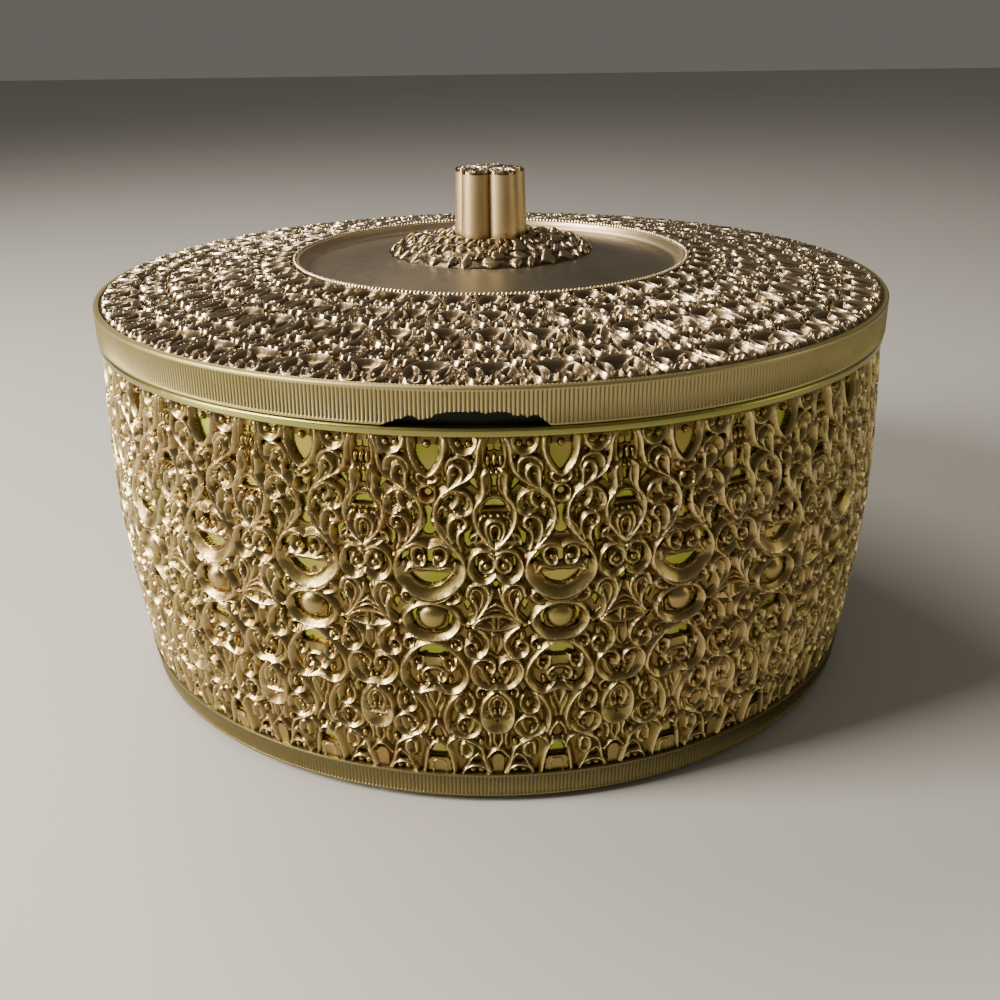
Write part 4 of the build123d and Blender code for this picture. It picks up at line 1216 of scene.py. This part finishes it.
def build_pan():
    low, top, rim = low_of("tray_pan"), top_of("tray_pan"), radius_of("tray_pan")
    outer, floor = TRAY_INSIDE + TRAY_WALL, low + TRAY_WALL
    pan = turned("tray_pan_black", [
        (0, low, 0), (outer, low, 1.5), (outer, top - TRAY_WALL, .3), (rim, top - TRAY_WALL, .3),
        (rim, top, .5), (TRAY_INSIDE, top, .5), (TRAY_INSIDE, floor, 2.0), (0, floor, 0)])
    finish(pan, "tray", ["tray_pan"], MOULDED_BLACK)


def build_cup():
    radius, low, top = radius_of("tray_cup"), TRAY_FLOOR, top_of("tray_cup")
    inner = radius - TRAY_WALL
    cup = turned("tray_cup_black", [
        (radius, low, 0), (radius, top, .5), (inner, top, .5), (inner, low, 0)], 128)
    finish(cup, "tray", ["tray_cup"], MOULDED_BLACK)


def build_dividers():
    """Upright plates between the cup and the pan's wall, with rounded edges."""
    inner, outer, top = radius_of("tray_cup") + 0.2, TRAY_INSIDE - 0.2, top_of("tray_cup")
    for number in range(1, 7):
        put_down()
        bpy.ops.mesh.primitive_cube_add(size=MM)
        plate = name_piece(bpy.context.object, f"tray_divider_{number}_black")
        x, y, z = spots_of(plate).T
        set_spots(plate, np.where(x > 0, outer, inner), y * TRAY_WALL, np.where(z > 0, top, TRAY_FLOOR))
        pick(plate)
        apply_to(plate, "BEVEL", width=0.5 * MM, segments=3)
        stand_at(plate, 0, 0, -60 + 60 * (number - 1))
        finish(plate, "tray", [f"tray_divider_{number}"], MOULDED_BLACK)


def build_pegs():
    """Pegs for thread spools, two in every second compartment."""
    low, top, foot, stem = TRAY_FLOOR, top_of("spool_peg_1"), 6.0, 2.4
    directions = [middle + side for middle in (-90, 30, 150) for side in (-11, 11)]
    for number, direction in enumerate(directions, 1):
        peg = turned(f"spool_peg_{number}_black", [
            (0, low, 0), (foot, low, 0), (foot, low + 1.5, .5), (stem, low + 1.5, .4), (stem, top, 1.2),
            (0, top, 0)], 48)
        stand_at(peg, *plan_point(PEG_CIRCLE, direction))
        finish(peg, "tray", [f"spool_peg_{number}"], MOULDED_BLACK)


def build_pull():
    """The tray's pull: a foot, a stem and a ball with a flattened top."""
    low, top, foot, stem = TRAY_FLOOR, top_of("tray_handle"), radius_of("tray_handle"), 4.0
    ball, middle = 8, 108
    arc = [(ball * math.cos(a), middle + ball * math.sin(a), 0) for a in np.radians(np.linspace(-38, 48, 16))]
    pull = turned("tray_handle_black", [
        (0, low, 0), (foot, low, .2), (foot, low + 2.0, .5), (stem, low + 2.0, .8), (stem, 103.08, .3),
        *arc, (0, top, 0)], 96)
    finish(pull, "tray", ["tray_handle"], MOULDED_BLACK)


# Studio

# Each soft light: name, place and size in metres, power in watts and colour.
SOFT_LIGHTS = [
    ("key_left", (-0.78, -0.32, 0.62), (0.40, 0.40), 21, (1.0, 0.92, 0.80)),
    ("window_left", (-0.95, -0.22, 0.24), (0.22, 0.42), 6, (1.0, 0.93, 0.82)),
    ("window_above", (-0.45, 0.40, 1.05), (0.75, 0.20), 9.5, (1.0, 0.92, 0.80)),
    ("fill_right", (0.9, -0.15, 0.30), (0.35, 0.5), 0.9, (1.0, 0.95, 0.62)),
]
LIGHTS_AIM = Vector((0, 0, 0.07))

# The camera's place in metres and its turns in radians, fitted to the photograph
CAMERA_PLACE = (0, -0.38104, 0.199196)
CAMERA_YAW, CAMERA_PITCH, CAMERA_ROLL = 0.0050793, 0.39676, -0.013008
SENSOR = 36.0
LENS = 1.1615 * SENSOR


def link(thing):
    bpy.context.scene.collection.objects.link(thing)
    return thing


def build_floor():
    put_down()
    bpy.ops.mesh.primitive_plane_add(size=8.0)
    floor = name_piece(bpy.context.object, "floor")
    bench = Bench("pale_floor", Roughness=0.55)
    tone = bench.mix(bench.noise(400, 3), (0.47, 0.46, 0.44), (0.52, 0.51, 0.49))
    floor.data.materials.append(bench.feed(Base_Color=tone))


def build_lights():
    for name, place, size, power, colour in SOFT_LIGHTS:
        lamp = bpy.data.lights.new(name, "AREA")
        lamp.shape = "RECTANGLE"
        lamp.size, lamp.size_y = size
        lamp.energy = power
        lamp.color = colour
        holder = link(bpy.data.objects.new(name, lamp))
        holder.location = place
        holder.rotation_euler = (LIGHTS_AIM - Vector(place)).to_track_quat("-Z", "Y").to_euler()
    world = bpy.data.worlds.new("studio")
    bpy.context.scene.world = world
    world.use_nodes = True
    sky = world.node_tree.nodes["Background"]
    sky.inputs[0].default_value = (0.33, 0.30, 0.27, 1)
    sky.inputs[1].default_value = 0.42


def build_camera():
    """The camera, from its yaw, its pitch and its small roll about the line of sight."""
    yaw_cos, yaw_sin = math.cos(CAMERA_YAW), math.sin(CAMERA_YAW)
    pitch_cos, pitch_sin = math.cos(CAMERA_PITCH), math.sin(CAMERA_PITCH)
    right = Vector((yaw_cos, -yaw_sin, 0))
    ahead = Vector((yaw_sin * pitch_cos, yaw_cos * pitch_cos, -pitch_sin))
    up = Vector((yaw_sin * pitch_sin, yaw_cos * pitch_sin, pitch_cos))
    across = math.cos(CAMERA_ROLL) * right + math.sin(CAMERA_ROLL) * up
    upward = math.cos(CAMERA_ROLL) * up - math.sin(CAMERA_ROLL) * right
    camera = link(bpy.data.objects.new("camera", bpy.data.cameras.new("camera")))
    camera.data.sensor_width = SENSOR
    camera.data.lens = LENS
    camera.data.clip_start = 0.01
    turn = Matrix((across, upward, -ahead)).transposed().to_4x4()
    camera.matrix_world = Matrix.Translation(CAMERA_PLACE) @ turn
    bpy.context.scene.camera = camera


def dress_node(node, material):
    """Gives a node that keeps its own shape its finish."""
    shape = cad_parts[node]
    shape.data.materials.clear()
    shape.data.materials.append(material)


for build in (build_drum, build_crown, build_skirt, build_dish, build_rosette, build_column, build_cap,
              build_lid_liner, build_washer, build_rim, build_base, build_bucket, build_feet, build_pan,
              build_cup, build_dividers, build_pegs, build_pull, build_floor, build_lights, build_camera):
    build()

dress_node("base_plate", MOULDED_BLACK)
dress_node("knob_screw", ZINC_STEEL)

put_down()
